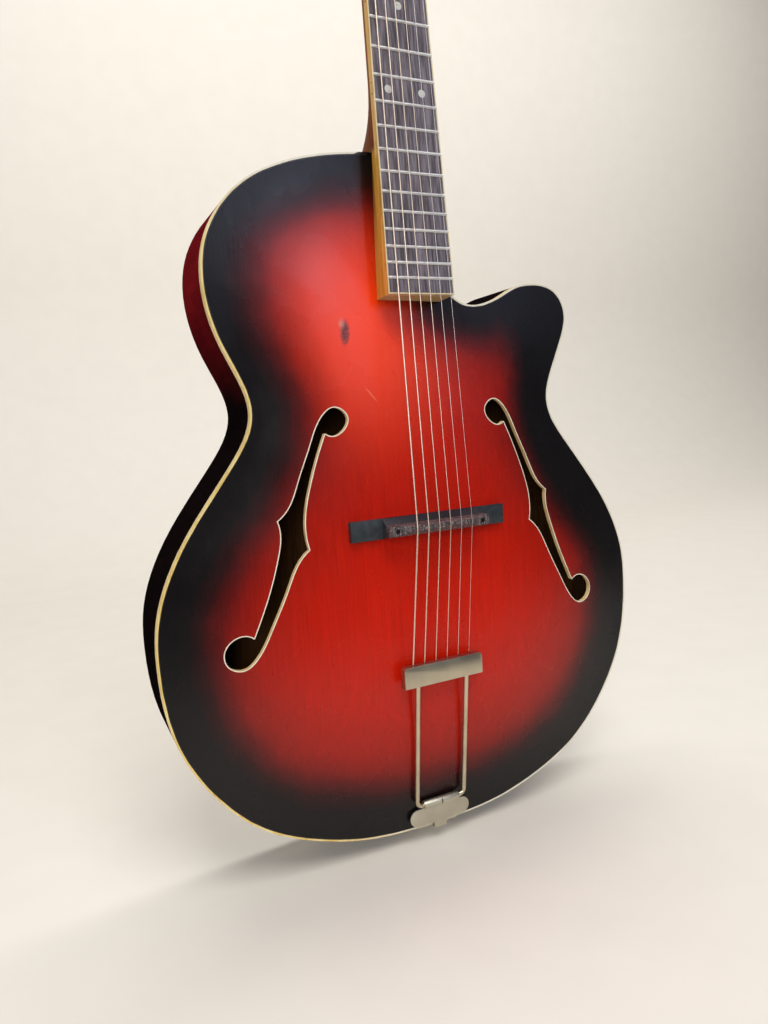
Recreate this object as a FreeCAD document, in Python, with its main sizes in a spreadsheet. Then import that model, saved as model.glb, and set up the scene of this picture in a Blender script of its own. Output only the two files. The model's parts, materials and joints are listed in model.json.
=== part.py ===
import FreeCAD, Part
import math
import os
import Sketcher
from FreeCAD import Placement, Rotation, Vector
from types import SimpleNamespace

# Archtop guitar. X runs to the treble side, Y to the back and Z up the neck;
# the origin is the end of the strap pin.

os.makedirs("parts", exist_ok=True)
doc = FreeCAD.newDocument("archtop_guitar")

# Driving dimensions in millimetres, angles in degrees, counts plain
driving = {
    "body_length": 558,
    "lower_bout": 442,
    "waist": 273,
    "upper_bout": 327,
    "horn_reach": 159.8,
    "horn_drop": 96,
    "cutaway_depth": 114.5,
    "rim_depth": 68,
    "top_arch": 15,
    "back_arch": 14,
    "arch_margin": 14,
    "plate_wall": 4,
    "rib_wall": 2.4,
    "binding_height": 6,
    "lining_width": 6.5,
    "lining_height": 14,
    "tone_bar_width": 9,
    "tone_bar_height": 10,
    "tone_bar_offset": 30,
    "tone_bar_tail_gap": 90,
    "tone_bar_neck_gap": 133,
    "neck_block_width": 46,
    "neck_block_length": 42,
    "tail_block_width": 80,
    "tail_block_length": 26,
    "sound_hole_length": 191,
    "sound_hole_offset": 115,
    "sound_hole_binding": 0.8,
    "scale_length": 640,
    "bridge_height": 268,
    "neck_angle": 3.26,
    "neck_rise": 37,
    "nut_width": 43,
    "board_end_width": 58,
    "board_length": 462,
    "board_wall": 6,
    "board_binding": 1,
    "fret_width": 2.3,
    "fret_crown": 1.1,
    "fret_tang": 0.6,
    "fret_tang_depth": 2.2,
    "fret_end_inset": 0.6,
    "dot_radius": 3,
    "dot_depth": 1.5,
    "dot_spread": 14.3,
    "side_dot_radius": 1,
    "side_dot_depth": 0.7,
    "side_dot_spread": 8,
    "nut_length": 5,
    "nut_rise": 1.65,
    "string_seat": 1.5,
    "nut_string_spread": 36,
    "neck_depth_nut": 15,
    "neck_depth_heel": 18.5,
    "heel_length": 58.6,
    "heel_depth": 80,
    "heel_overlap": 6,
    "riser_lip": 5,
    "riser_inset": 7,
    "riser_fall": 14,
    "tenon_width": 20,
    "tenon_length": 18,
    "tenon_lift": 8,
    "rod_radius": 2.5,
    "rod_depth": 7,
    "rod_reach": 12,
    "rod_margin": 22.6,
    "head_angle": 14,
    "head_length": 172,
    "head_width": 80,
    "head_wall": 14,
    "veneer_wall": 1.5,
    "cover_length": 40,
    "cover_width": 24,
    "cover_wall": 1.6,
    "cover_lift": 2,
    "cover_corner": 2.4,
    "post_first": 44,
    "post_pitch": 38,
    "post_offset": 23,
    "post_radius": 3,
    "post_rise": 15,
    "post_hole": 0.9,
    "post_hole_drop": 4,
    "bushing_radius": 5.5,
    "bushing_flange": 2,
    "bushing_sleeve": 4.4,
    "bushing_depth": 8,
    "tuner_wall": 1.2,
    "tuner_plate_width": 22,
    "tuner_plate_length": 112,
    "tuner_plate_corner": 4,
    "gear_teeth": 14,
    "gear_module": 0.7,
    "gear_face": 2.4,
    "gear_gap": 2.2,
    "tooth_height": 0.6,
    "worm_radius": 2.3,
    "worm_turns": 4,
    "thread_width": 0.6,
    "tooth_width": 0.7,
    "tooth_slope": 0.15,
    "tip_gap": 0.15,
    "post_tail": 0.6,
    "shaft_radius": 1.5,
    "shaft_inner": 3,
    "ear_spacing": 13,
    "ear_width": 6,
    "ear_rise": 2.4,
    "button_start": 42,
    "button_length": 20,
    "button_width": 14,
    "button_thickness": 9,
    "button_collar": 3,
    "button_collar_length": 4,
    "button_bore": 8,
    "button_overlap": 1.2,
    "screw_shank": 1.2,
    "screw_length": 9,
    "screw_head": 2.4,
    "screw_head_height": 1.2,
    "string_1_radius": 0.155,
    "string_2_radius": 0.215,
    "string_3_radius": 0.305,
    "string_4_radius": 0.405,
    "string_5_radius": 0.535,
    "string_6_radius": 0.66,
    "string_height": 42,
    "crest_height": 42.15,
    "bar_string_lift": 23,
    "saddle_spread": 49.7,
    "bar_spread": 53,
    "string_bend": 4,
    "string_notch": 0.1,
    "ball_radius": 1.9,
    "post_gap": 0.15,
    "base_length": 141,
    "base_width": 16,
    "base_offset": 0.5,
    "wing_height": 19,
    "middle_length": 87,
    "middle_height": 24.5,
    "middle_crest": 9,
    "saddle_length": 89,
    "saddle_width": 9,
    "saddle_crest": 3.4,
    "saddle_bottom": 26.5,
    "saddle_shoulder": 34,
    "saddle_end_height": 36.5,
    "saddle_crest_length": 57,
    "saddle_slope": 5,
    "saddle_setback": 1.5,
    "adjuster_radius": 2,
    "adjuster_spread": 77,
    "adjuster_top": 36,
    "adjuster_socket": 4,
    "adjuster_slot": 0.8,
    "adjuster_slot_depth": 1.2,
    "bar_width": 73,
    "bar_height": 17.5,
    "bar_drop": 114,
    "bar_lift": 27.5,
    "bar_depth": 6.6,
    "bar_wall": 1.2,
    "bar_corner": 2.8,
    "bar_slot": 2,
    "rail_radius": 2,
    "rail_spread": 46,
    "rail_top_lift": 23.6,
    "rail_bend": 5,
    "rail_end": 2,
    "rail_stub": 5,
    "hinge_drop": 244,
    "hinge_lift": 7.5,
    "knuckle_radius": 3.5,
    "knuckle_length": 34,
    "bracket_wall": 1.2,
    "bracket_width": 58,
    "bracket_lift": 4,
    "plate_height": 15.1,
    "plate_flat": 0.3,
    "plate_drop": 4.7,
    "tongue_width": 12,
    "strap_width": 38,
    "strap_length": 48,
    "bracket_screw_spread": 24,
    "bracket_screw_drop": 16,
    "bracket_screw_pitch": 22,
    "bracket_screw_shank": 1.6,
    "bracket_screw_length": 18,
    "bracket_screw_head": 3,
    "bracket_screw_head_height": 1.6,
    "pin_head_radius": 6.5,
    "pin_head_height": 4,
    "pin_neck_radius": 4,
    "pin_neck_height": 6,
    "pin_flange_radius": 6,
    "pin_flange_height": 2,
    "pin_shank_radius": 3.2,
    "pin_shank_length": 22,
    "running_gap": 0.06,
    "overrun": 30,
}

sheet = doc.addObject("Spreadsheet::Sheet", "sizes")
for row, (alias, value) in enumerate(driving.items(), start=1):
    sheet.set(f"A{row}", alias)
    sheet.set(f"B{row}", str(value))
    sheet.setAlias(f"B{row}", alias)
doc.recompute()


def text_of(size):
    return size.text if isinstance(size, Size) else repr(float(size))


class Size(float):
    # A driving dimension or a sum of them, with the expression that binds a feature to the sheet
    def __new__(cls, value, text):
        size = float.__new__(cls, value)
        size.text = text
        return size

    def __add__(self, other):
        return Size(float(self) + float(other), f"({self.text} + {text_of(other)})")

    def __radd__(self, other):
        return Size(float(other) + float(self), f"({text_of(other)} + {self.text})")

    def __sub__(self, other):
        return Size(float(self) - float(other), f"({self.text} - {text_of(other)})")

    def __rsub__(self, other):
        return Size(float(other) - float(self), f"({text_of(other)} - {self.text})")

    def __mul__(self, other):
        return Size(float(self) * float(other), f"({self.text} * {text_of(other)})")

    def __rmul__(self, other):
        return Size(float(other) * float(self), f"({text_of(other)} * {self.text})")

    def __truediv__(self, other):
        return Size(float(self) / float(other), f"({self.text} / {text_of(other)})")

    def __neg__(self):
        return Size(-float(self), f"(-1 * {self.text})")


d = SimpleNamespace(**{alias: Size(sheet.get(alias), f"sizes.{alias}") for alias in driving})
nodes = {}
fret_count = 21
dot_frets = (3, 5, 7, 9)
double_dot_fret = 12
post_names = (6, 5, 4, 1, 2, 3)

# Levels that several pieces share
tail = d.pin_head_height + d.pin_neck_height + d.pin_flange_height + d.bracket_wall
front = -d.rim_depth / 2
back = d.rim_depth / 2
joint = tail + d.body_length
bridge_z = tail + d.bridge_height
nut_z = bridge_z + d.scale_length


def node(label, feature):
    feature.Label = label
    nodes[label] = feature
    return feature


def shaped(label, shape, placement=Placement()):
    feature = doc.addObject("Part::Feature", label)
    feature.Shape = shape
    feature.Placement = placement
    return node(label, feature)


def bind(feature, **expressions):
    for key, size in expressions.items():
        feature.setExpression(key, text_of(size))


def put(feature, x, y, z):
    for key, size in zip("xyz", (x, y, z)):
        feature.setExpression(f"Placement.Base.{key}", text_of(size))


turned = {
    "X": Rotation(Vector(0, 1, 0), 90),
    "Y": Rotation(Vector(1, 0, 0), -90),
    "Z": Rotation(),
}


def box(name, x, y, z, length, width, height):
    feature = doc.addObject("Part::Box", name)
    bind(feature, Length=length, Width=width, Height=height)
    put(feature, x, y, z)
    return feature


def cylinder(name, axis, x, y, z, radius, height):
    feature = doc.addObject("Part::Cylinder", name)
    bind(feature, Radius=radius, Height=height)
    feature.Placement = Placement(Vector(), turned[axis])
    put(feature, x, y, z)
    return feature


def group(name, features):
    feature = doc.addObject("Part::Compound", name)
    feature.Links = features
    return feature


def fuse(name, features):
    feature = doc.addObject("Part::MultiFuse", name)
    feature.Shapes = features
    return feature


def cut(name, base, tools):
    feature = doc.addObject("Part::Cut", name)
    feature.Base = base
    feature.Tool = tools[0] if len(tools) == 1 else group(name + "_tools", tools)
    return feature


def sketch_on(body, plane, corners, name):
    sketch = body.newObject("Sketcher::SketchObject", name)
    support = [item for item in body.Origin.OriginFeatures if item.Role == plane][0]
    sketch.AttachmentSupport = [(support, "")]
    sketch.MapMode = "FlatFace"
    points = [Vector(float(x), float(y), 0) for x, y in corners]
    count = len(points)
    for index in range(count):
        sketch.addGeometry(Part.LineSegment(points[index], points[(index + 1) % count]))
    for index in range(count):
        sketch.addConstraint(Sketcher.Constraint("Coincident", index, 2, (index + 1) % count, 1))
    for index, corner in enumerate(corners):
        for kind, axis, size in (("DistanceX", -2, corner[0]), ("DistanceY", -1, corner[1])):
            if isinstance(size, Size):
                number = sketch.addConstraint(Sketcher.Constraint(kind, index, 1, float(size)))
                sketch.setExpression(f"Constraints[{number}]", size.text)
            else:
                sketch.addConstraint(Sketcher.Constraint("PointOnObject", index, 1, axis))
    return sketch


def pad(name, plane, corners, length, middle=False, reverse=False):
    body = doc.addObject("PartDesign::Body", name)
    feature = body.newObject("PartDesign::Pad", name + "_pad")
    feature.Profile = sketch_on(body, plane, corners, name + "_outline")
    feature.setExpression("Length", text_of(length))
    feature.Midplane = middle
    feature.Reversed = reverse
    body.Tip = feature
    return body


def turn(name, corners):
    body = doc.addObject("PartDesign::Body", name)
    sketch = sketch_on(body, "XZ_Plane", corners, name + "_profile")
    feature = body.newObject("PartDesign::Revolution", name + "_turned")
    feature.Profile = sketch
    feature.ReferenceAxis = (sketch, ["V_Axis"])
    body.Tip = feature
    return body


def prism(wire, y0, y1):
    face = Part.Face(wire)
    face.translate(Vector(0, y0, 0))
    return face.extrude(Vector(0, y1 - y0, 0))


def block(x0, x1, y0, y1, z0, z1):
    return Part.makeBox(x1 - x0, y1 - y0, z1 - z0, Vector(x0, y0, z0))


def line(start, end):
    return Part.LineSegment(start, end).toShape()


def spline(points):
    curve = Part.BSplineCurve()
    curve.interpolate(points)
    return curve


def rounded(x0, x1, z0, z1, radius):
    # Outline of a plate with round corners in the XZ plane
    edges = []
    corners = ((x1, z0, -1, 1), (x1, z1, -1, -1), (x0, z1, 1, -1), (x0, z0, 1, 1))
    shoulder = radius * (1 - math.sqrt(0.5))
    ends = []
    for number, (x, z, right, up) in enumerate(corners):
        low = Vector(x + right * radius, 0, z)
        side = Vector(x, 0, z + up * radius)
        middle = Vector(x + right * shoulder, 0, z + up * shoulder)
        first, last = (low, side) if number % 2 == 0 else (side, low)
        ends.append((first, last))
        edges.append(Part.Arc(first, middle, last).toShape())
    for number in range(len(ends)):
        start = ends[number][1]
        end = ends[(number + 1) % len(ends)][0]
        edges.insert(2 * number + 1, line(start, end))
    return Part.Wire(Part.__sortEdges__(edges))


# Body outline, from the bass side of the neck round the tail to the treble side of the neck
shoulder_shares = (
    (0.372, 0.9935),
    (0.607, 0.976),
    (0.78, 0.9498),
    (0.912, 0.9102),
    (0.976, 0.8726),
    (1.0, 0.8226),
    (0.9865, 0.7858),
    (0.932, 0.735),
)
waist_share = 0.6487
lower_shares = (
    (0.7063, 0.5796),
    (0.888, 0.482),
    (0.9905, 0.383),
    (1.0, 0.3306),
    (0.9597, 0.2174),
    (0.833, 0.1263),
    (0.682, 0.0676),
    (0.486, 0.0289),
    (0.335, 0.0108),
    (0.141, 0.001),
)
horn_shares = (
    (0.92, 0.34),
    (0.967, 0.515),
    (1.0, 0.725),
    (0.968, 0.88),
    (0.915, 0.958),
    (0.803, 1.0),
    (0.65, 0.961),
    (0.556, 0.883),
    (0.464, 0.832),
)
floor_share = 0.376
rise_shares = ((1.7, 0.042), (1.27, 0.145), (1.08, 0.36), (1.0, 1.0))

heel_share = (nut_z - joint) / d.board_length
heel_half = (d.nut_width + (d.board_end_width - d.nut_width) * heel_share) / 2
waist_level = d.body_length * waist_share
horn_rise = d.body_length - d.horn_drop - waist_level
cutaway_floor = d.body_length - d.cutaway_depth
outline_points = [(-heel_half, d.body_length)]
for wide, tall in shoulder_shares:
    outline_points.append((-d.upper_bout / 2 * wide, d.body_length * tall))
outline_points.append((-d.waist / 2, waist_level))
for wide, tall in lower_shares:
    outline_points.append((-d.lower_bout / 2 * wide, d.body_length * tall))
outline_points.append((0, 0))
for wide, tall in reversed(lower_shares):
    outline_points.append((d.lower_bout / 2 * wide, d.body_length * tall))
outline_points.append((d.waist / 2, waist_level))
for wide, tall in horn_shares:
    outline_points.append((d.horn_reach * wide, waist_level + horn_rise * tall))
outline_points.append((d.horn_reach * floor_share, cutaway_floor))
for wide, tall in rise_shares:
    outline_points.append((heel_half * wide, cutaway_floor + d.cutaway_depth * tall))
outline = spline([Vector(float(x), 0, float(tail + z)) for x, z in outline_points])
inset_count = 120
touching = 1e-6


def inset(distance):
    # The outline moved inwards along its normals
    if distance == 0:
        return outline
    points = []
    first, last = outline.FirstParameter, outline.LastParameter
    for index in range(inset_count + 1):
        at = first + (last - first) * index / inset_count
        along = outline.tangent(at)[0]
        points.append(outline.value(at) + Vector(-along.z, 0, along.x) * float(distance))
    return spline(points)


def closed(distance):
    # The whole body inside an inset, closed square across the neck joint
    curve = inset(distance)
    start = curve.value(curve.FirstParameter)
    end = curve.value(curve.LastParameter)
    corner = Vector(-heel_half, 0, joint)
    top_edge = Vector(end.x, 0, joint)
    edges = [curve.toShape()]
    for first, last in ((end, top_edge), (top_edge, corner), (corner, start)):
        if not first.isEqual(last, touching):
            edges.append(line(first, last))
    return Part.Wire(edges)


def strip(outer, inner, y0, y1):
    # A band that follows the outline between two insets
    far, near = inset(outer), inset(inner)
    ends = [(curve.value(curve.FirstParameter), curve.value(curve.LastParameter)) for curve in (far, near)]
    edges = [far.toShape(), line(ends[0][1], ends[1][1]), near.toShape(), line(ends[1][0], ends[0][0])]
    return prism(Part.Wire(Part.__sortEdges__(edges)), y0, y1)


# Arch of the plates: a stretched skin over the outline, flattened towards its rim
arch_columns = 57
arch_rows = 69
arch_step = 2
arch_rounds = 260
relax_share = 1.9
left = -d.lower_bout / 2 - d.arch_margin
column_gap = (d.lower_bout + d.arch_margin * 2) / (arch_columns - 1)
row_gap = (d.body_length + d.arch_margin * 2) / (arch_rows - 1)


def arch_shares():
    border = [(point.x, point.z) for point in outline.discretize(inset_count * 2)]
    columns = [left + column_gap * column for column in range(arch_columns)]
    rows = [tail - d.arch_margin + row_gap * row for row in range(arch_rows)]

    def crossings(z):
        found = []
        for (x0, z0), (x1, z1) in zip(border, border[1:] + border[:1]):
            if (z0 > z) != (z1 > z):
                found.append(x0 + (x1 - x0) * (z - z0) / (z1 - z0))
        return found

    inside = []
    for z in rows:
        hits = crossings(float(z))
        inside.append([sum(hit > x for hit in hits) % 2 == 1 for x in columns])
    skin = [[0.0] * arch_columns for _ in range(arch_rows)]
    across = 1 / float(column_gap) ** 2
    up = 1 / float(row_gap) ** 2
    load = 1 / float(d.lower_bout) ** 2
    cells = [(i, j) for i in range(arch_rows) for j in range(arch_columns) if inside[i][j]]
    for _ in range(arch_rounds):
        for i, j in cells:
            sides = across * (skin[i][j - 1] + skin[i][j + 1]) + up * (skin[i - 1][j] + skin[i + 1][j])
            wanted = (sides + load) / (2 * across + 2 * up)
            skin[i][j] += relax_share * (wanted - skin[i][j])
    most = max(max(row) for row in skin)
    return [[3 * (v / most) ** 2 - 2 * (v / most) ** 3 for v in row] for row in skin]


shares = arch_shares()


def arch_face(level, arch):
    # The arched surface over the whole body, standing off a flat level by the arch
    grid = []
    for row in range(0, arch_rows, arch_step):
        z = tail - d.arch_margin + row_gap * row
        points = []
        for column in range(0, arch_columns, arch_step):
            x = left + column_gap * column
            points.append(Vector(float(x), float(level + arch * shares[row][column]), float(z)))
        grid.append(points)
    surface = Part.BSplineSurface()
    surface.interpolate(grid)
    return surface.toShape()


def behind(face, distance):
    return face.extrude(Vector(0, float(distance), 0))


top_outside = arch_face(front, -d.top_arch)
top_inside = arch_face(front + d.plate_wall, -d.top_arch)
back_outside = arch_face(back, d.back_arch)
back_inside = arch_face(back - d.plate_wall, d.back_arch)
reach = d.rim_depth + d.overrun
plate_blank = prism(closed(d.rib_wall), -reach, reach)
below_top = behind(top_outside, reach)

# Sound holes: an f with two lobes and four corners, drawn on the treble side
hole_top_shares = ((-0.287, 0.399), (-0.226, 0.314), (-0.157, 0.2), (-0.103, 0.075), (-0.113, -0.055))
hole_inner_shares = (
    (-0.113, -0.055),
    (-0.03, -0.105),
    (0.052, -0.2),
    (0.188, -0.36),
    (0.29, -0.46),
    (0.395, -0.502),
    (0.495, -0.475),
    (0.508, -0.413),
    (0.4, -0.36),
    (0.31, -0.374),
)
hole_outer_shares = ((0.31, -0.374), (0.192, -0.215), (0.105, -0.063), (0.082, -0.005), (0.091, 0.074))
hole_lobe_shares = (
    (0.091, 0.074),
    (0.009, 0.121),
    (-0.078, 0.231),
    (-0.174, 0.362),
    (-0.244, 0.452),
    (-0.374, 0.508),
    (-0.457, 0.465),
    (-0.392, 0.397),
    (-0.287, 0.399),
)
hole_scale_share = 0.6


def sound_hole(side):
    # The four curves of a sound hole, mirrored to the bass side where side is -1
    edges = []
    for curve in (hole_top_shares, hole_inner_shares, hole_outer_shares, hole_lobe_shares):
        points = []
        for wide, tall in curve:
            x = d.sound_hole_offset + d.sound_hole_length * hole_scale_share * wide
            points.append(Vector(side * float(x), 0, float(bridge_z + d.sound_hole_length * tall)))
        edges.append(spline(points).toShape())
    return Part.Wire(edges)


edge_points = 16


def plain(wire):
    # The same wire as splines through points of its edges
    edges = [spline(edge.discretize(edge_points)).toShape() for edge in wire.OrderedEdges]
    return Part.Wire(Part.__sortEdges__(edges))


hole_outer = [sound_hole(side) for side in (-1, 1)]
hole_inner = [plain(wire.makeOffset2D(-float(d.sound_hole_binding))) for wire in hole_outer]
top_slab = behind(top_outside, d.plate_wall).common(plate_blank)
hole_blanks = [prism(wire, -reach, reach) for wire in hole_outer]
hole_openings = [prism(wire, -reach, reach) for wire in hole_inner]
shaped("top_plate", top_slab.cut(hole_blanks))
hole_rings = [top_slab.common(blank).cut(opening) for blank, opening in zip(hole_blanks, hole_openings)]
shaped("f_hole_bindings", Part.makeCompound([ring.Solids[0] for ring in hole_rings]))
shaped("back_plate", behind(back_outside, -d.plate_wall).common(plate_blank))


def rod(radius, start, along, length):
    return Part.makeCylinder(float(radius), float(length), start, along)


up = Vector(0, 0, 1)
rightward = Vector(1, 0, 0)
backward = Vector(0, 1, 0)

# Ribs, blocks, linings and tone bars
bracket_screw_places = []
for side in (-1, 1):
    for number in (0, 1):
        y = front + d.bracket_screw_drop + d.bracket_screw_pitch * number
        bracket_screw_places.append((side * d.bracket_screw_spread / 2, y))
pin_reach = d.bracket_wall + d.pin_shank_length
tail_holes = [rod(d.pin_shank_radius + d.running_gap, Vector(0, 0, tail - d.bracket_wall), up, pin_reach)]
for x, y in bracket_screw_places:
    start = Vector(x, y, tail - d.bracket_wall)
    tail_holes.append(rod(d.bracket_screw_shank + d.running_gap, start, up, d.bracket_screw_length))
bass_side = block(-d.lower_bout, 0, -reach, reach, 0, joint + d.overrun)
treble_side = block(0, d.lower_bout, -reach, reach, 0, joint + d.overrun)
rim = strip(0, d.rib_wall, front + d.binding_height, back - d.binding_height)
shaped("rib_bass", rim.common(bass_side).cut(tail_holes))
shaped("rib_treble", rim.common(treble_side).cut(tail_holes))
shaped("top_binding", strip(0, d.rib_wall, front, front + d.binding_height))
shaped("back_binding", strip(0, d.rib_wall, back - d.binding_height, back))

neck_block_half = d.neck_block_width / 2
tail_block_half = d.tail_block_width / 2
neck_box = block(-neck_block_half, neck_block_half, -reach, reach, joint - d.neck_block_length, joint)
tail_box = block(-tail_block_half, tail_block_half, -reach, reach, tail, tail + d.tail_block_length)
tenon_half = d.tenon_width / 2
tenon_front = front + d.plate_wall + d.tenon_lift
tenon_low = joint - d.tenon_length
tenon = block(-tenon_half, tenon_half, tenon_front, -tenon_front, tenon_low, joint + d.heel_overlap)
cavity = plate_blank.common(behind(top_inside, reach)).common(behind(back_inside, -reach))
shaped("neck_block", cavity.common(neck_box).cut(tenon))
shaped("tail_block", cavity.common(tail_box).cut(tail_holes))
lining_inner = d.rib_wall + d.lining_width
for label, near, far in (
    ("top_linings", front + d.plate_wall, front + d.plate_wall + d.lining_height),
    ("back_linings", back - d.plate_wall - d.lining_height, back - d.plate_wall),
):
    shaped(label, strip(d.rib_wall, lining_inner, near, far).cut([neck_box, tail_box]))
bar_slab = behind(top_inside, d.tone_bar_height)
bars = []
for side in (-1, 1):
    middle = side * d.tone_bar_offset
    half = d.tone_bar_width / 2
    low, high = tail + d.tone_bar_tail_gap, joint - d.tone_bar_neck_gap
    footprint = block(middle - half, middle + half, -reach, reach, low, high)
    bars.append(bar_slab.common(footprint).Solids[0])
shaped("tone_bars", Part.makeCompound(bars))

# Neck frame: its origin is the nut line on the fingerboard's face, and it leans back from the body
nut_lift = d.neck_rise - d.scale_length * math.tan(math.radians(d.neck_angle))
neck_frame = Placement(Vector(0, front - nut_lift, nut_z), Rotation(rightward, -float(d.neck_angle)))
head_rest = Placement(Vector(0, d.board_wall, d.nut_length), Rotation(rightward, -float(d.head_angle)))
head_frame = neck_frame.multiply(head_rest)


def placed(shape, frame):
    moved = shape.copy()
    moved.Placement = frame.multiply(shape.Placement)
    return moved


def board_half(distance):
    # Half the fingerboard's width at a distance from the nut
    return (d.nut_width + (d.board_end_width - d.nut_width) * (distance / d.board_length)) / 2


section_points = 9
board_floor = d.board_wall


def neck_section(distance, depth):
    # A flat face and a half-oval back
    half = board_half(distance)
    points = []
    for index in range(section_points):
        angle = math.pi * index / (section_points - 1)
        points.append(Vector(half * math.cos(angle), board_floor + depth * math.sin(angle), -distance))
    return Part.Wire([spline(points).toShape(), line(points[-1], points[0])])


heel_sections = 8
heel_curve = 3
joint_distance = (nut_z - joint) / math.cos(math.radians(d.neck_angle))
heel_start = joint_distance - d.heel_length
head_start = d.nut_length + d.rod_reach
rod_length = head_start + joint_distance - d.rod_margin
middle_share = 0.5
mean_depth = (d.neck_depth_nut + d.neck_depth_heel) * middle_share
shaft = Part.makeLoft(
    [
        neck_section(-head_start, d.neck_depth_nut),
        neck_section(heel_start * middle_share, mean_depth),
        neck_section(heel_start, d.neck_depth_heel),
    ],
    True,
    False,
)
heel_wires = []
for index in range(heel_sections + 1):
    share = index / heel_sections
    depth = d.neck_depth_heel + (d.heel_depth - d.neck_depth_heel) * share**heel_curve
    heel_wires.append(neck_section(heel_start + d.heel_length * share, depth))
heel_wires.append(neck_section(joint_distance + d.heel_overlap, d.heel_depth))
heel = Part.makeLoft(heel_wires, True, False)


def riser_section(distance, inset):
    # Under the board the sides drop straight, draw in by the inset, then drop to the top plate
    half = board_half(distance)
    lip = board_floor + d.riser_lip
    levels = ((half, board_floor), (half, lip), (half - inset, lip + d.riser_fall), (half - inset, d.overrun))
    right = [Vector(x, y, -distance) for x, y in levels]
    left = [Vector(-x, y, -distance) for x, y in reversed(levels)]
    return Part.makePolygon(right + left + right[:1])


riser_start = min(joint_distance, d.board_length) - d.heel_overlap
riser_wires = [riser_section(riser_start, d.riser_inset), riser_section(d.board_length, 0)]
riser = Part.makeLoft(riser_wires, True, True)
body_room = block(-reach, reach, -reach, reach, 0, joint)
riser_floor = below_top.common(body_room)

# Headstock outline: flared sides and a shallow crown
head_side_shares = ((0.535, 0), (0.62, 0.05), (0.84, 0.15), (0.9, 0.4), (0.97, 0.75), (1.0, 0.93))
head_top_shares = ((1.0, 0.93), (0.6, 0.965), (0.0, 1.0), (-0.6, 0.965), (-1.0, 0.93))


def head_outline():
    sides = []
    for side in (1, -1):
        sides.append([(side * wide, tall) for wide, tall in head_side_shares])
    curves = (sides[0], head_top_shares, list(reversed(sides[1])))
    edges = []
    for curve in curves:
        points = [Vector(d.head_width / 2 * wide, 0, d.head_length * tall) for wide, tall in curve]
        edges.append(spline(points).toShape())
    edges.append(line(edges[-1].Vertexes[-1].Point, edges[0].Vertexes[0].Point))
    return Part.Wire(Part.__sortEdges__(edges))


head_back = d.veneer_wall + d.head_wall
head = placed(prism(head_outline(), d.veneer_wall, head_back), head_frame)
head_room = placed(
    block(-d.head_width, d.head_width, -d.overrun, d.veneer_wall, 0, d.head_length + d.overrun), head_frame
)
post_places = []
for side in (-1, 1):
    for number in range(3):
        post_places.append((side * d.post_offset, d.post_first + d.post_pitch * number))
post_holes = []
for x, z in post_places:
    post_holes.append(rod(d.bushing_sleeve, Vector(x, 0, z), backward, head_back))
channel_half = d.rod_radius + d.running_gap
channel = block(
    -channel_half,
    channel_half,
    d.board_wall,
    d.board_wall + d.rod_depth + channel_half,
    head_start - rod_length,
    head_start,
)
channel = placed(channel, neck_frame)

# Wood screws: tuner plates on the back of the headstock, cover on its face
plate_middle = d.post_first + d.post_pitch
plate_screw_reach = d.tuner_plate_length / 2 - d.tuner_plate_corner
plate_screw_places = []
for side in (-1, 1):
    for end in (-1, 1):
        plate_screw_places.append((side * d.post_offset, plate_middle + end * plate_screw_reach))
cover_inset = d.screw_head + d.cover_wall
cover_end = d.cover_lift + d.cover_length
cover_screw_places = [(0, cover_end - cover_inset), (0, d.cover_lift + cover_inset + d.rod_reach)]


def wood_screw(x, z, seat, facing):
    # A round head on the seat and a shank into the wood
    head_part = rod(d.screw_head, Vector(x, seat, z), Vector(0, facing, 0), d.screw_head_height)
    shank = rod(d.screw_shank, Vector(x, seat, z), Vector(0, -facing, 0), d.screw_length)
    return head_part.fuse(shank).removeSplitter().Solids[0]


screws = [wood_screw(x, z, head_back + d.tuner_wall, 1) for x, z in plate_screw_places]
screws += [wood_screw(x, z, -d.cover_wall, -1) for x, z in cover_screw_places]
screw_holes = []
for x, z in plate_screw_places:
    start = Vector(x, head_back + d.tuner_wall, z)
    screw_holes.append(rod(d.screw_shank + d.running_gap, start, -backward, d.screw_length))
for x, z in cover_screw_places:
    start = Vector(x, -d.cover_wall, z)
    screw_holes.append(rod(d.screw_shank + d.running_gap, start, backward, d.screw_length))
shaped("wood_screws", Part.makeCompound(screws), head_frame)
head_holes = [placed(hole, head_frame) for hole in post_holes + screw_holes]

neck_wood = placed(shaft, neck_frame).fuse(placed(heel, neck_frame).cut(body_room))
neck_wood = neck_wood.fuse(placed(riser, neck_frame).cut(riser_floor))
neck_wood = neck_wood.fuse([head, tenon]).cut([head_room, channel] + head_holes)
shaped("neck", neck_wood.removeSplitter())

# Fingerboard, its binding, frets and markers, in the neck frame
board_nut = d.nut_width / 2 - d.board_binding
board_end = d.board_end_width / 2 - d.board_binding
core_length = d.board_length - d.board_binding
board_corners = [(-board_nut, 0), (-board_end, -core_length), (board_end, -core_length), (board_nut, 0)]
board_blank = pad("board_blank", "XZ_Plane", board_corners, d.board_wall, reverse=True)
binding_corners = [
    (-d.nut_width / 2, 0),
    (-d.board_end_width / 2, -d.board_length),
    (d.board_end_width / 2, -d.board_length),
    (d.nut_width / 2, 0),
    (board_nut, 0),
    (board_end, -core_length),
    (-board_end, -core_length),
    (-board_nut, 0),
]
board_trim = pad("board_trim", "XZ_Plane", binding_corners, d.board_wall, reverse=True)


def fret_distance(number):
    return d.scale_length * (1 - 2 ** (-number / 12))


def space_distance(number):
    # The middle of the space on the nut side of a fret
    return (fret_distance(number - 1) + fret_distance(number)) / 2


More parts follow.
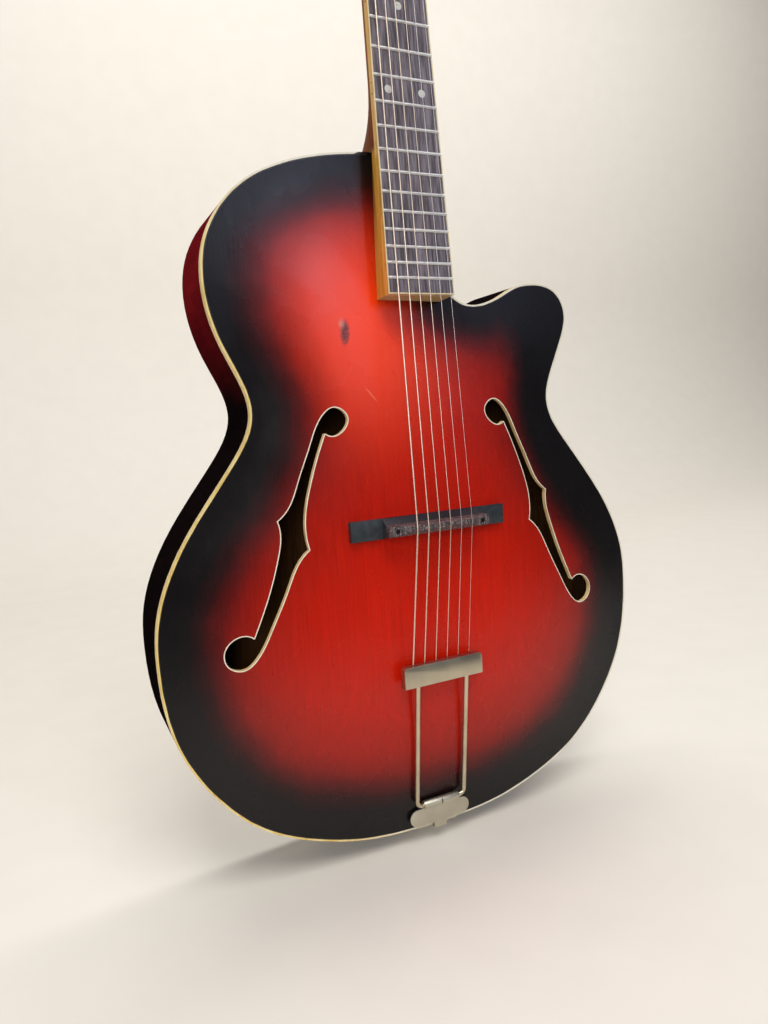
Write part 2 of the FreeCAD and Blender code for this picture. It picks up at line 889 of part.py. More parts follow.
slots = []
for number in range(1, fret_count + 1):
    z = -fret_distance(number) - d.fret_tang / 2
    width = d.board_end_width
    slots.append(box(f"fret_slot_{number}", -width / 2, 0, z, width, d.fret_tang_depth, d.fret_tang))
dot_places = [(0, space_distance(number)) for number in dot_frets]
dot_places += [(side * d.dot_spread, space_distance(double_dot_fret)) for side in (-1, 1)]
dot_holes = []
for index, (x, distance) in enumerate(dot_places):
    dot_holes.append(cylinder(f"dot_hole_{index}", "Y", x, 0, -distance, d.dot_radius, d.dot_depth))
node("fingerboard", cut("board", board_blank, slots + dot_holes)).Placement = neck_frame
dots = []
for index, (x, distance) in enumerate(dot_places):
    dots.append(cylinder(f"dot_{index}", "Y", x, 0, -distance, d.dot_radius, d.dot_depth))
node("position_dots", group("dots", dots)).Placement = neck_frame

side_dot_places = [space_distance(number) for number in dot_frets]
side_dot_places += [space_distance(double_dot_fret) + side * d.side_dot_spread / 2 for side in (-1, 1)]


def side_dot(name, distance):
    start = -board_half(distance)
    level = d.board_wall / 2
    return cylinder(name, "X", start, level, -distance, d.side_dot_radius, d.side_dot_depth)


side_dot_holes = [side_dot(f"side_dot_hole_{index}", at) for index, at in enumerate(side_dot_places)]
side_dots = [side_dot(f"side_dot_{index}", at) for index, at in enumerate(side_dot_places)]
node("fingerboard_binding", cut("trim", board_trim, side_dot_holes)).Placement = neck_frame
node("side_dots", group("side_marks", side_dots)).Placement = neck_frame


def fret(number):
    # A rounded crown across the board and a tang in its slot
    distance = fret_distance(number)
    crown_half = board_half(distance) - d.fret_end_inset
    low = Vector(-crown_half, 0, -distance - d.fret_width / 2)
    peak = Vector(-crown_half, -d.fret_crown, -distance)
    high = Vector(-crown_half, 0, -distance + d.fret_width / 2)
    profile = Part.Face(Part.Wire([Part.Arc(low, peak, high).toShape(), line(high, low)]))
    crown = profile.extrude(Vector(2 * crown_half, 0, 0))
    tang_half = board_half(distance) - d.board_binding - d.running_gap
    edge = d.fret_tang / 2 - d.running_gap
    depth = d.fret_tang_depth - d.running_gap
    tang = block(-tang_half, tang_half, 0, depth, -distance - edge, -distance + edge)
    return crown.fuse(tang).Solids[0]


frets = [fret(number) for number in range(1, fret_count + 1)]
shaped("frets", Part.makeCompound(frets), neck_frame)
rod_start = Vector(0, d.board_wall + d.rod_depth, head_start - rod_length)
shaped("truss_rod", rod(d.rod_radius, rod_start, up, rod_length), neck_frame)

# Headstock face and cover
veneer = placed(prism(head_outline(), 0, d.veneer_wall), head_frame)
shaped("headstock_veneer", veneer.cut([channel] + head_holes))
cover_plate = prism(
    rounded(-d.cover_width / 2, d.cover_width / 2, d.cover_lift, cover_end, d.cover_corner),
    -d.cover_wall,
    0,
)
shaped("truss_rod_cover", cover_plate.cut(screw_holes), head_frame)

# Strings: straight runs with a small bend over the saddle and over the nut
string_count = 6


def spread(width, number):
    # Place of a string across the neck, string 1 on the treble side
    return width / 2 - width / (string_count - 1) * (number - 1)


def tube(points, radius, bend):
    edges = []
    start = points[0]
    for before, corner, after in zip(points, points[1:], points[2:]):
        back_way = (before - corner).normalize()
        on_way = (after - corner).normalize()
        half = back_way.getAngle(on_way) / 2
        arm = float(bend) / math.tan(half)
        first = corner + back_way * arm
        last = corner + on_way * arm
        inward = (back_way + on_way).normalize()
        middle = corner + inward * (float(bend) / math.sin(half) - float(bend))
        edges.append(line(start, first))
        edges.append(Part.Arc(first, middle, last).toShape())
        start = last
    edges.append(line(start, points[-1]))
    path = Part.Wire(edges)
    ring = Part.Wire(Part.makeCircle(float(radius), points[0], points[1] - points[0]))
    return path.makePipeShell([ring], True, False)


flange_z = bridge_z - d.bar_drop - d.bar_wall


def string_route(number):
    radius = getattr(d, f"string_{number}_radius")
    rest = Vector(spread(d.saddle_spread, number), front - d.string_height - radius, bridge_z)
    slot = Vector(spread(d.bar_spread, number), front - d.bar_string_lift, flange_z)
    away = (slot - rest).normalize()
    anchor = slot + away * float(d.ball_radius + d.string_notch)
    at_nut = neck_frame.multVec(Vector(spread(d.nut_string_spread, number), -d.string_seat - radius, 0))
    level = head_frame.inverse().multVec(at_nut).y
    x, z = post_places[post_names.index(number)]
    inner = x - math.copysign(d.post_radius + radius + d.post_gap, x)
    end = head_frame.multVec(Vector(inner, level, z))
    return radius, [anchor, rest, at_nut, end]


strings = []
notches = []
for number in range(1, string_count + 1):
    radius, route = string_route(number)
    ball = Part.makeSphere(float(d.ball_radius), route[0])
    strings.append(tube(route, radius, d.string_bend).fuse(ball).Solids[0])
    notches.append(tube(route, radius + d.string_notch, d.string_bend))
shaped("strings", Part.makeCompound(strings))
string_tool = doc.addObject("Part::Feature", "string_tool")
string_tool.Shape = Part.makeCompound(notches)

nut_slope = Size(math.tan(math.radians(d.head_angle)), "tan(sizes.head_angle * 1 deg)")
nut_fall = d.nut_length * nut_slope
nut_corners = [
    (-d.nut_rise, 0),
    (d.board_wall, 0),
    (d.board_wall, d.nut_length),
    (nut_fall - d.nut_rise, d.nut_length),
]
nut_blank = pad("nut_blank", "YZ_Plane", nut_corners, d.nut_width, middle=True)
nut_blank.Placement = neck_frame
node("nut", cut("slotted_nut", nut_blank, [string_tool]))

# Tuners: plates on the back, with a worm and a gear to each post
gear_radius = d.gear_module * d.gear_teeth / 2
worm_level = head_back + d.tuner_wall + d.gear_gap + d.gear_face / 2
gear_distance = gear_radius + d.worm_radius
worm_pitch = d.gear_module * math.pi
ear_half = d.tuner_wall / 2


def tuner_plate(side):
    middle = side * d.post_offset
    half = d.tuner_plate_width / 2
    low = plate_middle - d.tuner_plate_length / 2
    high = plate_middle + d.tuner_plate_length / 2
    plate_outline = rounded(middle - half, middle + half, low, high, d.tuner_plate_corner)
    plate = prism(plate_outline, head_back, head_back + d.tuner_wall)
    bores = list(screw_holes)
    for x, z in post_places:
        if x * side > 0:
            axis_z = z - gear_distance
            bores.append(rod(d.bushing_sleeve, Vector(x, head_back, z), backward, d.tuner_wall))
            bore_start = Vector(0, worm_level, axis_z)
            bores.append(rod(d.shaft_radius + d.running_gap, bore_start, rightward * side, d.button_start))
            for end in (-1, 1):
                ear_x = x + end * d.ear_spacing / 2
                ear = block(
                    ear_x - ear_half,
                    ear_x + ear_half,
                    head_back,
                    worm_level + d.ear_rise,
                    axis_z - d.ear_width / 2,
                    axis_z + d.ear_width / 2,
                )
                plate = plate.fuse(ear)
    return plate.cut(bores)


shaped("tuner_plate_bass", tuner_plate(-1), head_frame)
shaped("tuner_plate_treble", tuner_plate(1), head_frame)


def bushing(x, z):
    flange = rod(d.bushing_radius, Vector(x, 0, z), -backward, d.bushing_flange)
    sleeve = rod(d.bushing_sleeve, Vector(x, 0, z), backward, d.bushing_depth)
    start = Vector(x, -d.bushing_flange, z)
    bore = rod(d.post_radius + d.running_gap, start, backward, d.bushing_flange + d.bushing_depth)
    return flange.fuse(sleeve).cut(bore).removeSplitter().Solids[0]


shaped("tuner_bushings", Part.makeCompound([bushing(x, z) for x, z in post_places]), head_frame)


def gear_wheel():
    # Straight teeth round the Y axis, with a space towards -Z
    root = gear_radius - d.tooth_height - d.tip_gap
    tip = gear_radius + d.tooth_height
    corners = []
    for tooth in range(int(d.gear_teeth)):
        middle = math.pi * 2 * (tooth + middle_share) / d.gear_teeth - math.pi / 2
        root_half = (d.tooth_width / 2 + d.tooth_slope) / root
        tip_half = (d.tooth_width / 2 - d.tooth_slope) / tip
        for radius, angle in ((root, -root_half), (tip, -tip_half), (tip, tip_half), (root, root_half)):
            at = middle + angle
            corners.append(Vector(radius * math.cos(at), 0, radius * math.sin(at)))
    disc = prism(Part.makePolygon(corners + corners[:1]), -d.gear_face / 2, d.gear_face / 2)
    bore = rod(d.post_radius + d.running_gap, Vector(0, -d.gear_face / 2, 0), backward, d.gear_face)
    return disc.cut(bore)


def worm_thread():
    # One right-handed ridge round the Z axis, crossing +X in the middle of its length
    length = worm_pitch * d.worm_turns
    inner = d.shaft_radius - d.tip_gap
    outer = d.worm_radius + d.tooth_height
    wide = d.thread_width / 2 + d.tooth_slope
    narrow = d.thread_width / 2 - d.tooth_slope
    profile = ((inner, -wide), (outer, -narrow), (outer, narrow), (inner, wide))
    corners = [Vector(across, 0, along) for across, along in profile]
    helix = Part.makeHelix(float(worm_pitch), float(length), float(d.worm_radius))
    ridge = Part.Wire(helix).makePipeShell([Part.makePolygon(corners + corners[:1])], True, True)
    ridge.translate(Vector(0, 0, -length / 2))
    return ridge


gear_shape = gear_wheel()
thread_shape = worm_thread()
along_x = Rotation(Vector(1, 0, 1), 180)
for (x, z), name in zip(post_places, post_names):
    side = math.copysign(1, x)
    axis_z = z - gear_distance
    thread = thread_shape.copy()
    thread.Placement = Placement(Vector(x, worm_level, axis_z), along_x).multiply(thread_shape.Placement)
    inner_end = abs(x) - d.ear_spacing / 2 - d.shaft_inner
    shaft_length = d.button_start + d.button_bore - inner_end
    shaft_start = Vector(side * inner_end, worm_level, axis_z)
    worm = rod(d.shaft_radius, shaft_start, rightward * side, shaft_length).fuse(thread)
    shaped(f"tuner_worm_{name}", worm, head_frame)
    gear_place = Placement(Vector(x, worm_level, z), Rotation())
    shaped(f"tuner_gear_{name}", gear_shape, head_frame.multiply(gear_place))
    post_length = d.post_rise + worm_level + d.gear_face / 2 + d.post_tail
    post = cylinder(f"post_{name}", "Y", x, -d.post_rise, z, d.post_radius, post_length)
    hole_level = d.post_hole_drop - d.post_rise
    hole_x = x - d.post_radius
    hole = cylinder(f"post_hole_{name}", "X", hole_x, hole_level, z, d.post_hole, d.post_radius * 2)
    node(f"tuner_post_{name}", cut(f"holed_post_{name}", post, [hole])).Placement = head_frame
    start = side * d.button_start
    collar_x = start if side > 0 else start - d.button_collar_length
    collar_size = (d.button_collar, d.button_collar_length)
    collar = cylinder(f"collar_{name}", "X", collar_x, worm_level, axis_z, *collar_size)
    oval = doc.addObject("Part::Ellipsoid", f"oval_{name}")
    bind(oval, Radius1=d.button_width / 2, Radius2=d.button_length / 2, Radius3=d.button_thickness / 2)
    middle = start + side * (d.button_collar_length + d.button_length / 2 - d.button_overlap)
    oval.Placement = Placement(Vector(), Rotation(rightward, rightward * side))
    put(oval, middle, worm_level, axis_z)
    bore_x = start if side > 0 else start - d.button_bore
    bore_radius = d.shaft_radius + d.running_gap
    bore = cylinder(f"button_bore_{name}", "X", bore_x, worm_level, axis_z, bore_radius, d.button_bore)
    knob = cut(f"knob_{name}", fuse(f"button_{name}", [collar, oval]), [bore])
    node(f"tuner_button_{name}", knob).Placement = head_frame

# Bridge: a base carved to the top, two adjusting screws and a saddle on them
base_middle = bridge_z - d.base_offset
saddle_middle = bridge_z - d.saddle_setback
base_half = d.base_width / 2
wings = block(
    -d.base_length / 2,
    d.base_length / 2,
    front - d.wing_height,
    front,
    base_middle - base_half,
    base_middle + base_half,
)
crest_half = d.middle_crest / 2
middle_section = [
    Vector(0, front, base_middle - base_half),
    Vector(0, front - d.wing_height, base_middle - base_half),
    Vector(0, front - d.middle_height, saddle_middle - crest_half),
    Vector(0, front - d.middle_height, saddle_middle + crest_half),
    Vector(0, front - d.wing_height, base_middle + base_half),
    Vector(0, front, base_middle + base_half),
]
hump = Part.Face(Part.makePolygon(middle_section + middle_section[:1]))
hump.translate(Vector(-d.middle_length / 2, 0, 0))
hump = hump.extrude(Vector(d.middle_length, 0, 0))
adjuster_floor = d.middle_height - d.adjuster_socket
adjuster_length = d.adjuster_top - adjuster_floor
sockets = []
for side in (-1, 1):
    start = Vector(side * d.adjuster_spread / 2, front - d.adjuster_top, saddle_middle)
    sockets.append(rod(d.adjuster_radius + d.running_gap, start, backward, adjuster_length))
base_wood = wings.fuse(hump).cut([below_top] + sockets)
shaped("bridge_base", base_wood.removeSplitter())

saddle_half = d.saddle_width / 2
saddle_corners = [
    (front - d.saddle_bottom, saddle_middle - saddle_half),
    (front - d.saddle_shoulder, saddle_middle - saddle_half),
    (front - d.crest_height, bridge_z - d.saddle_crest / 2),
    (front - d.crest_height, bridge_z + d.saddle_crest / 2),
    (front - d.saddle_shoulder, saddle_middle + saddle_half),
    (front - d.saddle_bottom, saddle_middle + saddle_half),
]
saddle_blank = pad("saddle_blank", "YZ_Plane", saddle_corners, d.saddle_length, middle=True)
for name, side in (("bass", -1), ("treble", 1)):
    near = side * d.saddle_crest_length / 2
    far = side * (d.saddle_length / 2 + d.overrun)
    end_cut = saddle_blank.newObject("PartDesign::Pocket", f"saddle_end_{name}")
    end_cut.Profile = sketch_on(
        saddle_blank,
        "XY_Plane",
        [
            (near, front - d.crest_height - d.overrun),
            (far, front - d.crest_height - d.overrun),
            (far, front - d.saddle_end_height),
            (near + side * d.saddle_slope, front - d.saddle_end_height),
            (near, front - d.crest_height),
        ],
        f"saddle_end_{name}_outline",
    )
    end_cut.Type = "ThroughAll"
    end_cut.Midplane = True
    saddle_blank.Tip = end_cut
adjuster_bores = []
for name, side in (("bass", -1), ("treble", 1)):
    x = side * d.adjuster_spread / 2
    bore_top = front - d.crest_height
    bore_length = d.crest_height - d.saddle_bottom
    bore_radius = d.adjuster_radius + d.running_gap
    bore = cylinder(f"adjuster_bore_{name}", "Y", x, bore_top, saddle_middle, bore_radius, bore_length)
    adjuster_bores.append(bore)
    screw_top = front - d.adjuster_top
    screw_size = (d.adjuster_radius, adjuster_length)
    screw = cylinder(f"adjuster_{name}", "Y", x, screw_top, saddle_middle, *screw_size)
    slot = box(
        f"adjuster_slot_{name}",
        x - d.adjuster_radius,
        screw_top,
        saddle_middle - d.adjuster_slot / 2,
        d.adjuster_radius * 2,
        d.adjuster_slot_depth,
        d.adjuster_slot,
    )
    node(f"bridge_screw_{name}", cut(f"slotted_screw_{name}", screw, [slot]))
node("bridge_saddle", cut("notched_saddle", saddle_blank, adjuster_bores + [string_tool]))

# Tailpiece: a folded bar on two rods, hinged in a bracket over the tail
bar_top = bridge_z - d.bar_drop
bar_front = front - d.bar_lift
bar_bottom = bar_top - d.bar_height
bar_size = (d.bar_width, d.bar_depth, d.bar_height)
bar_shell = box("bar_shell", -d.bar_width / 2, bar_front, bar_bottom, *bar_size)
bar_room = box(
    "bar_room",
    -d.bar_width / 2 + d.bar_wall,
    bar_front + d.bar_wall,
    bar_bottom + d.bar_wall,
    d.bar_width - d.bar_wall * 2,
    d.bar_depth,
    d.bar_height - d.bar_wall * 2,
)
bar_half = d.bar_width / 2
bar_blank = block(-bar_half, bar_half, bar_front, bar_front + d.bar_depth, bar_bottom, bar_top)
bar_outline = rounded(-bar_half, bar_half, bar_bottom - d.bar_height, bar_top, d.bar_corner)
bar_corners = doc.addObject("Part::Feature", "bar_corners")
bar_corners.Shape = bar_blank.cut(prism(bar_outline, bar_front, bar_front + d.bar_depth))
bar_cuts = [bar_room, bar_corners]
slot_front = front - d.bar_string_lift - d.bar_slot
for number in range(1, string_count + 1):
    x = spread(d.bar_spread, number) - d.bar_slot / 2
    bar_cuts.append(
        box(f"bar_slot_{number}", x, slot_front, bar_top - d.bar_wall, d.bar_slot, d.bar_depth, d.bar_wall)
    )
hinge_y = front - d.hinge_lift
hinge_z = bridge_z - d.hinge_drop
rails = []
for name, side in (("bass", -1), ("treble", 1)):
    x = side * d.rail_spread / 2
    top_level = front - d.rail_top_lift
    points = [
        Vector(side * d.rail_end, hinge_y, hinge_z),
        Vector(x, hinge_y, hinge_z),
        Vector(x, top_level, bar_bottom + d.rail_stub),
    ]
    rails.append(tube(points, d.rail_radius, d.rail_bend))
shaped("tailpiece_rods", Part.makeCompound(rails))
rail_tool = doc.addObject("Part::Feature", "rail_tool")
rail_tool.Shape = Part.makeCompound(rails)
node("tailpiece_bar", cut("folded_bar", bar_shell, bar_cuts + [rail_tool]))

plate_front = front - d.bracket_lift - d.bracket_wall
bracket_half = d.bracket_width / 2
strap_half = d.strap_width / 2
plate_back = plate_front + d.bracket_wall
plate_top = hinge_z - d.plate_drop
plate_middle_z = plate_top - d.plate_height / 2
plate_corner = (d.plate_height - d.plate_flat) / 2
bracket_face = prism(
    rounded(-bracket_half, bracket_half, plate_top - d.plate_height, plate_top, plate_corner),
    plate_front,
    plate_back,
)
leaf_half = d.knuckle_length / 2
leaf = block(-leaf_half, leaf_half, plate_front, plate_back, plate_middle_z, hinge_z)
tongue_half = d.tongue_width / 2
tongue = block(-tongue_half, tongue_half, plate_front, plate_back, tail - d.bracket_wall, plate_middle_z)
fold = block(-tongue_half, tongue_half, plate_front, front, tail - d.bracket_wall, tail)
strap_end = plate_front + d.strap_length
strap = block(-strap_half, strap_half, front, strap_end, tail - d.bracket_wall, tail)
knuckle_start = Vector(-d.knuckle_length / 2, hinge_y, hinge_z)
knuckle = rod(d.knuckle_radius, knuckle_start, rightward, d.knuckle_length)
knuckle_bore = rod(d.rail_radius + d.running_gap, knuckle_start, rightward, d.knuckle_length)
bracket = bracket_face.fuse([leaf, tongue, fold, strap, knuckle]).cut([knuckle_bore] + tail_holes)
shaped("tailpiece_bracket", bracket.removeSplitter())
bracket_screws = []
for x, y in bracket_screw_places:
    seat = Vector(x, y, tail - d.bracket_wall)
    dome = rod(d.bracket_screw_head, seat, -up, d.bracket_screw_head_height)
    shank = rod(d.bracket_screw_shank, seat, up, d.bracket_screw_length)
    bracket_screws.append(dome.fuse(shank).Solids[0])
shaped("bracket_screws", Part.makeCompound(bracket_screws))
neck_end = d.pin_head_height + d.pin_neck_height
flange_end = neck_end + d.pin_flange_height
pin_corners = [
    (0, 0),
    (d.pin_head_radius, 0),
    (d.pin_head_radius, d.pin_head_height),
    (d.pin_neck_radius, d.pin_head_height),
    (d.pin_neck_radius, neck_end),
    (d.pin_flange_radius, neck_end),
    (d.pin_flange_radius, flange_end),
    (d.pin_shank_radius, flange_end),
    (d.pin_shank_radius, flange_end + pin_reach),
    (0, flange_end + pin_reach),
]
node("end_pin", turn("pin", pin_corners))

doc.recompute()
for item in doc.Objects:
    if "Invalid" in item.State or "Error" in item.State:
        raise RuntimeError(f"{item.Label} did not recompute")
for label, feature in nodes.items():
    if feature.Shape.isNull() or not feature.Shape.isValid():
        raise RuntimeError(f"{label} has no valid shape")
for label, feature in nodes.items():
    feature.Shape.exportStep(f"parts/{label}.step")
    print(label, len(feature.Shape.Solids), round(feature.Shape.Volume))
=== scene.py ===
import json
import math

import bpy
from mathutils import Matrix, Vector
from mathutils.kdtree import KDTree


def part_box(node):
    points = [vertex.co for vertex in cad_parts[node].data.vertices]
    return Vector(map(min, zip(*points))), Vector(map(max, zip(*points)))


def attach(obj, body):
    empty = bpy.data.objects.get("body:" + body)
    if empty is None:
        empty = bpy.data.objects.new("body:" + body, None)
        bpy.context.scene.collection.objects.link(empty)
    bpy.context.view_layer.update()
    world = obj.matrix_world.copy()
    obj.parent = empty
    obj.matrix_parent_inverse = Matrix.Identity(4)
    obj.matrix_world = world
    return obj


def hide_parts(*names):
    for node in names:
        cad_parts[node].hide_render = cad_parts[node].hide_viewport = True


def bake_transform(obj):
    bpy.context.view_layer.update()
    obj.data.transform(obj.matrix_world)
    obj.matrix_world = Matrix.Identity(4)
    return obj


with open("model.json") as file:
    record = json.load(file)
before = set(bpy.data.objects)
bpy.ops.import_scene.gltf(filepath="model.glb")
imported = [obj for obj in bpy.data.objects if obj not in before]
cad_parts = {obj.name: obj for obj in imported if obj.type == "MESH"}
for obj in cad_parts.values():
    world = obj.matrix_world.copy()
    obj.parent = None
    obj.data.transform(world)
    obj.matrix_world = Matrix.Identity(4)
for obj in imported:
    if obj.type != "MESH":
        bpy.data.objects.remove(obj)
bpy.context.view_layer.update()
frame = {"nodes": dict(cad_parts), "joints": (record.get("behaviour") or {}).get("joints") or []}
nodes = frame["nodes"]
joints = {joint["name"]: joint for joint in frame["joints"]}
scene = bpy.context.scene
mm = 0.001  # the scene is in metres, so a size in mm is written 3 * mm
mergeWithin = 0.004 * mm  # points of a solid's skin closer than this are one point


# Small helpers for materials and pieces

def linear(hexColour):  # sRGB hex to linear RGBA
    shades = [int(hexColour[i:i + 2], 16) / 255 for i in (1, 3, 5)]
    return [s / 12.92 if s <= 0.04045 else ((s + 0.055) / 1.055) ** 2.4 for s in shades] + [1]


def feed(node, inputs):  # links, colours or plain values on a node's sockets
    for key, value in inputs.items():
        if isinstance(value, bpy.types.NodeSocket):
            node.id_data.links.new(value, node.inputs[key])
        else:
            node.inputs[key].default_value = linear(value) if isinstance(value, str) else value


def add(tree, kind, inputs=None, stops=None, **settings):  # one node, its settings and its links
    node = tree.nodes.new("ShaderNode" + kind)
    for key, value in settings.items():
        setattr(node, key, value)
    if stops:
        elements = node.color_ramp.elements
        for place, colour in stops[1:-1]:
            elements.new(place).color = linear(colour)
        elements[0].position, elements[0].color = stops[0][0], linear(stops[0][1])
        elements[-1].position, elements[-1].color = stops[-1][0], linear(stops[-1][1])
    feed(node, inputs or {})
    return node


def startMaterial(name, **values):  # values are the shader's own sockets, _ for a space
    material = bpy.data.materials.new(name)
    material.use_nodes = True
    shader = material.node_tree.nodes["Principled BSDF"]
    feed(shader, {key.replace("_", " "): value for key, value in values.items()})
    return material, material.node_tree, shader


def fibres(tree, across, along, axis="z", detail=3.0):  # noise drawn out along the grain, sizes in mm
    sizes = [along if letter == axis else across for letter in "xyz"]
    place = add(tree, "TexCoord").outputs["Object"]
    drawn = add(tree, "Mapping", {"Vector": place, "Scale": [1000 / size for size in sizes]})
    return add(tree, "TexNoise", {"Vector": drawn.outputs[0], "Scale": 1.0, "Detail": detail}).outputs["Fac"]


def grit(tree, size, detail=2.0):  # even noise, size in mm
    return fibres(tree, size, size, detail=detail)


def spread(tree, value, low, high, start=0.0, end=1.0):  # a range of a pattern stretched to another
    return add(tree, "MapRange", {"Value": value, "From Min": low, "From Max": high,
                                  "To Min": start, "To Max": end}).outputs[0]


def relief(tree, shader, height, depth, strength=1.0):  # bump of a real depth in mm
    bump = add(tree, "Bump", {"Height": height, "Strength": strength, "Distance": depth * mm})
    feed(shader, {"Normal": bump.outputs[0]})


def alone(piece):  # only this piece selected and active
    bpy.ops.object.select_all(action="DESELECT")
    piece.select_set(True)
    bpy.context.view_layer.objects.active = piece


def copyOf(node, name):  # a merged copy of a solid, to be worked on as a piece of its own
    piece = bpy.data.objects.new(name, nodes[node].data.copy())
    scene.collection.objects.link(piece)
    alone(piece)
    bpy.ops.mesh.customdata_custom_splitnormals_clear()
    bpy.ops.object.mode_set(mode="EDIT")
    bpy.ops.mesh.select_all(action="SELECT")
    bpy.ops.mesh.remove_doubles(threshold=mergeWithin)
    bpy.ops.object.mode_set(mode="OBJECT")
    return piece


def shaded(tree, colour, factor):  # a colour made lighter or darker by a pattern
    inputs = {"Fac": 1.0, "Color1": colour, "Color2": factor}
    return add(tree, "MixRGB", inputs, blend_type="MULTIPLY").outputs[0]


def settle(piece, material, slot, *stoodFor):  # finish, slot (not used) and the nodes that the piece stands for
    piece.data.materials.clear()
    piece.data.materials.append(material)
    if stoodFor:
        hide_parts(*stoodFor)
    return piece


def dress(material, *names):  # a finish for solids that keep their own mesh
    for name in names:
        for slot in nodes[name].material_slots:
            slot.material = material


# Camera at the photograph's place

view = {
    "place": (-287.0 * mm, -574.1 * mm, 364.46 * mm),
    "right": (0.89913, -0.43270, -0.06590),
    "up": (0.11168, 0.08122, 0.99042),
    "forward": (0.42320, 0.89787, -0.12136),
    "lens": 25.98, "frameHeight": 36, "nearest": 10 * mm,
}
camera = bpy.data.objects.new("camera", bpy.data.cameras.new("camera"))
scene.collection.objects.link(camera)
camera.data.sensor_fit = "VERTICAL"
camera.data.sensor_height = view["frameHeight"]
camera.data.sensor_width = view["frameHeight"]
camera.data.lens = view["lens"]
camera.data.clip_start = view["nearest"]
turn = Matrix((view["right"], view["up"], [-part for part in view["forward"]])).transposed()
camera.matrix_world = Matrix.Translation(view["place"]) @ turn.to_4x4()
scene.camera = camera
scene.view_settings.view_transform = "Standard"

# Seamless pale paper: floor, long curve, wall
paper = {
    "width": 7, "front": -2.6, "back": 2.2, "curve": 0.9, "curveSteps": 24, "height": 3,
    "below": 0.4 * mm, "near": 1 * mm,  # gap under the strap pin, slack for picking the paper's edges
    "tones": [(0.35, "#ECE5D9"), (0.65, "#EEE7DB")],
    "fade": (-0.75, -0.3), "studio": "#2E2D2C",  # painted shade: the paper darkens towards the front of the studio
}
bpy.ops.object.select_all(action="DESELECT")
bpy.ops.mesh.primitive_plane_add(size=1)
floor = bpy.context.object
floor.name = "paperFloor"
floor.scale = (paper["width"], paper["back"] - paper["front"], 1)
floor.location = (0, (paper["back"] + paper["front"]) / 2, -paper["below"])
bpy.ops.object.transform_apply(location=True, rotation=True, scale=True)
bpy.ops.object.mode_set(mode="EDIT")
bpy.ops.mesh.select_mode(type="EDGE")
bpy.ops.mesh.select_all(action="DESELECT")
bpy.ops.object.mode_set(mode="OBJECT")
for edge in floor.data.edges:
    ends = [floor.data.vertices[i].co.y for i in edge.vertices]
    edge.select = min(ends) > paper["back"] - paper["near"]
bpy.ops.object.mode_set(mode="EDIT")
bpy.ops.mesh.extrude_region_move(TRANSFORM_OT_translate={"value": (0, 0, paper["height"])})
bpy.ops.object.mode_set(mode="OBJECT")
for edge in floor.data.edges:
    ends = [floor.data.vertices[i].co for i in edge.vertices]
    edge.select = all(end.y > paper["back"] - paper["near"] and end.z < paper["near"] for end in ends)
bpy.ops.object.mode_set(mode="EDIT")
bpy.ops.mesh.bevel(offset=paper["curve"], segments=paper["curveSteps"], affect="EDGES")
bpy.ops.object.mode_set(mode="OBJECT")
bpy.ops.object.shade_smooth()
material, tree, shader = startMaterial("mattPaper", Roughness=0.9)  # plain pulp paper, no gloss
pulp = add(tree, "ValToRGB", {"Fac": grit(tree, 60, 3)}, paper["tones"])
# painted shade: the pale paper fades to dark grey towards the front
ahead = add(tree, "SeparateXYZ", {"Vector": add(tree, "TexCoord").outputs["Object"]}).outputs["Y"]
ahead = spread(tree, ahead, *paper["fade"])
feed(shader, {"Base Color": add(tree, "MixRGB", {"Fac": ahead, "Color1": paper["studio"],
                                                 "Color2": pulp.outputs[0]}).outputs[0]})
floor.data.materials.append(material)

# Lights: front panel beside the camera, soft top panel, cool panels that the upper bout mirrors, wall panel
lamps = {
    "frontPanel": {"place": (-1.1, -1.75, 0.75), "aim": (0, 0, 0.32), "size": (0.9, 0.9), "power": 19},
    "topPanel": {"place": (-0.2, -1.2, 2.1), "aim": (0, 0, 0.32), "size": (1.2, 1.2), "power": 28},
    "hazePanel": {"place": (0.95, -1.9, 1.2), "aim": (0, 0, 0.4), "size": (1.3, 1.3), "power": 4.2},
    "sheenPanel": {"place": (0.53, -1.9, 1.06), "aim": (-0.08, 0, 0.48), "size": (0.2, 0.4), "power": 2.8},
    "wallPanel": {"place": (1.0, 0.6, 2.7), "aim": (1.0, 2.1, 0.6), "size": (4.4, 0.8), "power": 56},
}
tints = {"hazePanel": "#CFDBFF", "sheenPanel": "#DCE4FF"}  # daylight from the room
for name, lamp in lamps.items():
    light = bpy.data.objects.new(name, bpy.data.lights.new(name, "AREA"))
    scene.collection.objects.link(light)
    light.data.shape = "RECTANGLE"
    light.data.size, light.data.size_y = lamp["size"]
    light.data.energy = lamp["power"]
    light.data.color = linear(tints.get(name, "#FFFFFF"))[:3]
    light.location = lamp["place"]
    aim = Vector(lamp["aim"]) - Vector(lamp["place"])
    light.rotation_euler = aim.to_track_quat("-Z", "Y").to_euler()
world = bpy.data.worlds.new("studio")
world.use_nodes = True
scene.world = world
feed(world.node_tree.nodes["Background"], {"Color": "#F2F4F8", "Strength": 0.12})  # dim cool room
print("camera, paper and lamps set")


# Finishes

# Spruce top, sprayed nitro lacquer: black burst over red, fine grain lines telegraph through the gloss
burst = {
    "reach": 150,  # mm from the edge at which the shading ends
    "stops": [(0.0, "#0D0A0B"), (0.115, "#0F0A0B"), (0.19, "#2A090A"), (0.27, "#560D0B"),
              (0.35, "#80120A"), (0.46, "#981507"), (0.7, "#B01603"), (1.0, "#BE1903")],
    # painted highlight: colour, place and size of a glow laid over the upper bout
    "paintedGlow": "#EC3A08", "glowPlace": (-38, 440), "glowSize": (110, 140),  # places and sizes in mm
    # the scar is worn finish; the pale spot at its upper lip is a painted highlight
    "scarPlace": (-59, 434), "scarSize": (6, 15), "dentHighlightPlace": (-61, 441), "dentHighlightSize": (4.5, 8),
    "scarTurn": 6, "scratchPlace": (-42, 386), "scratchSize": (0.9, 11), "scratchTurn": -38,
}


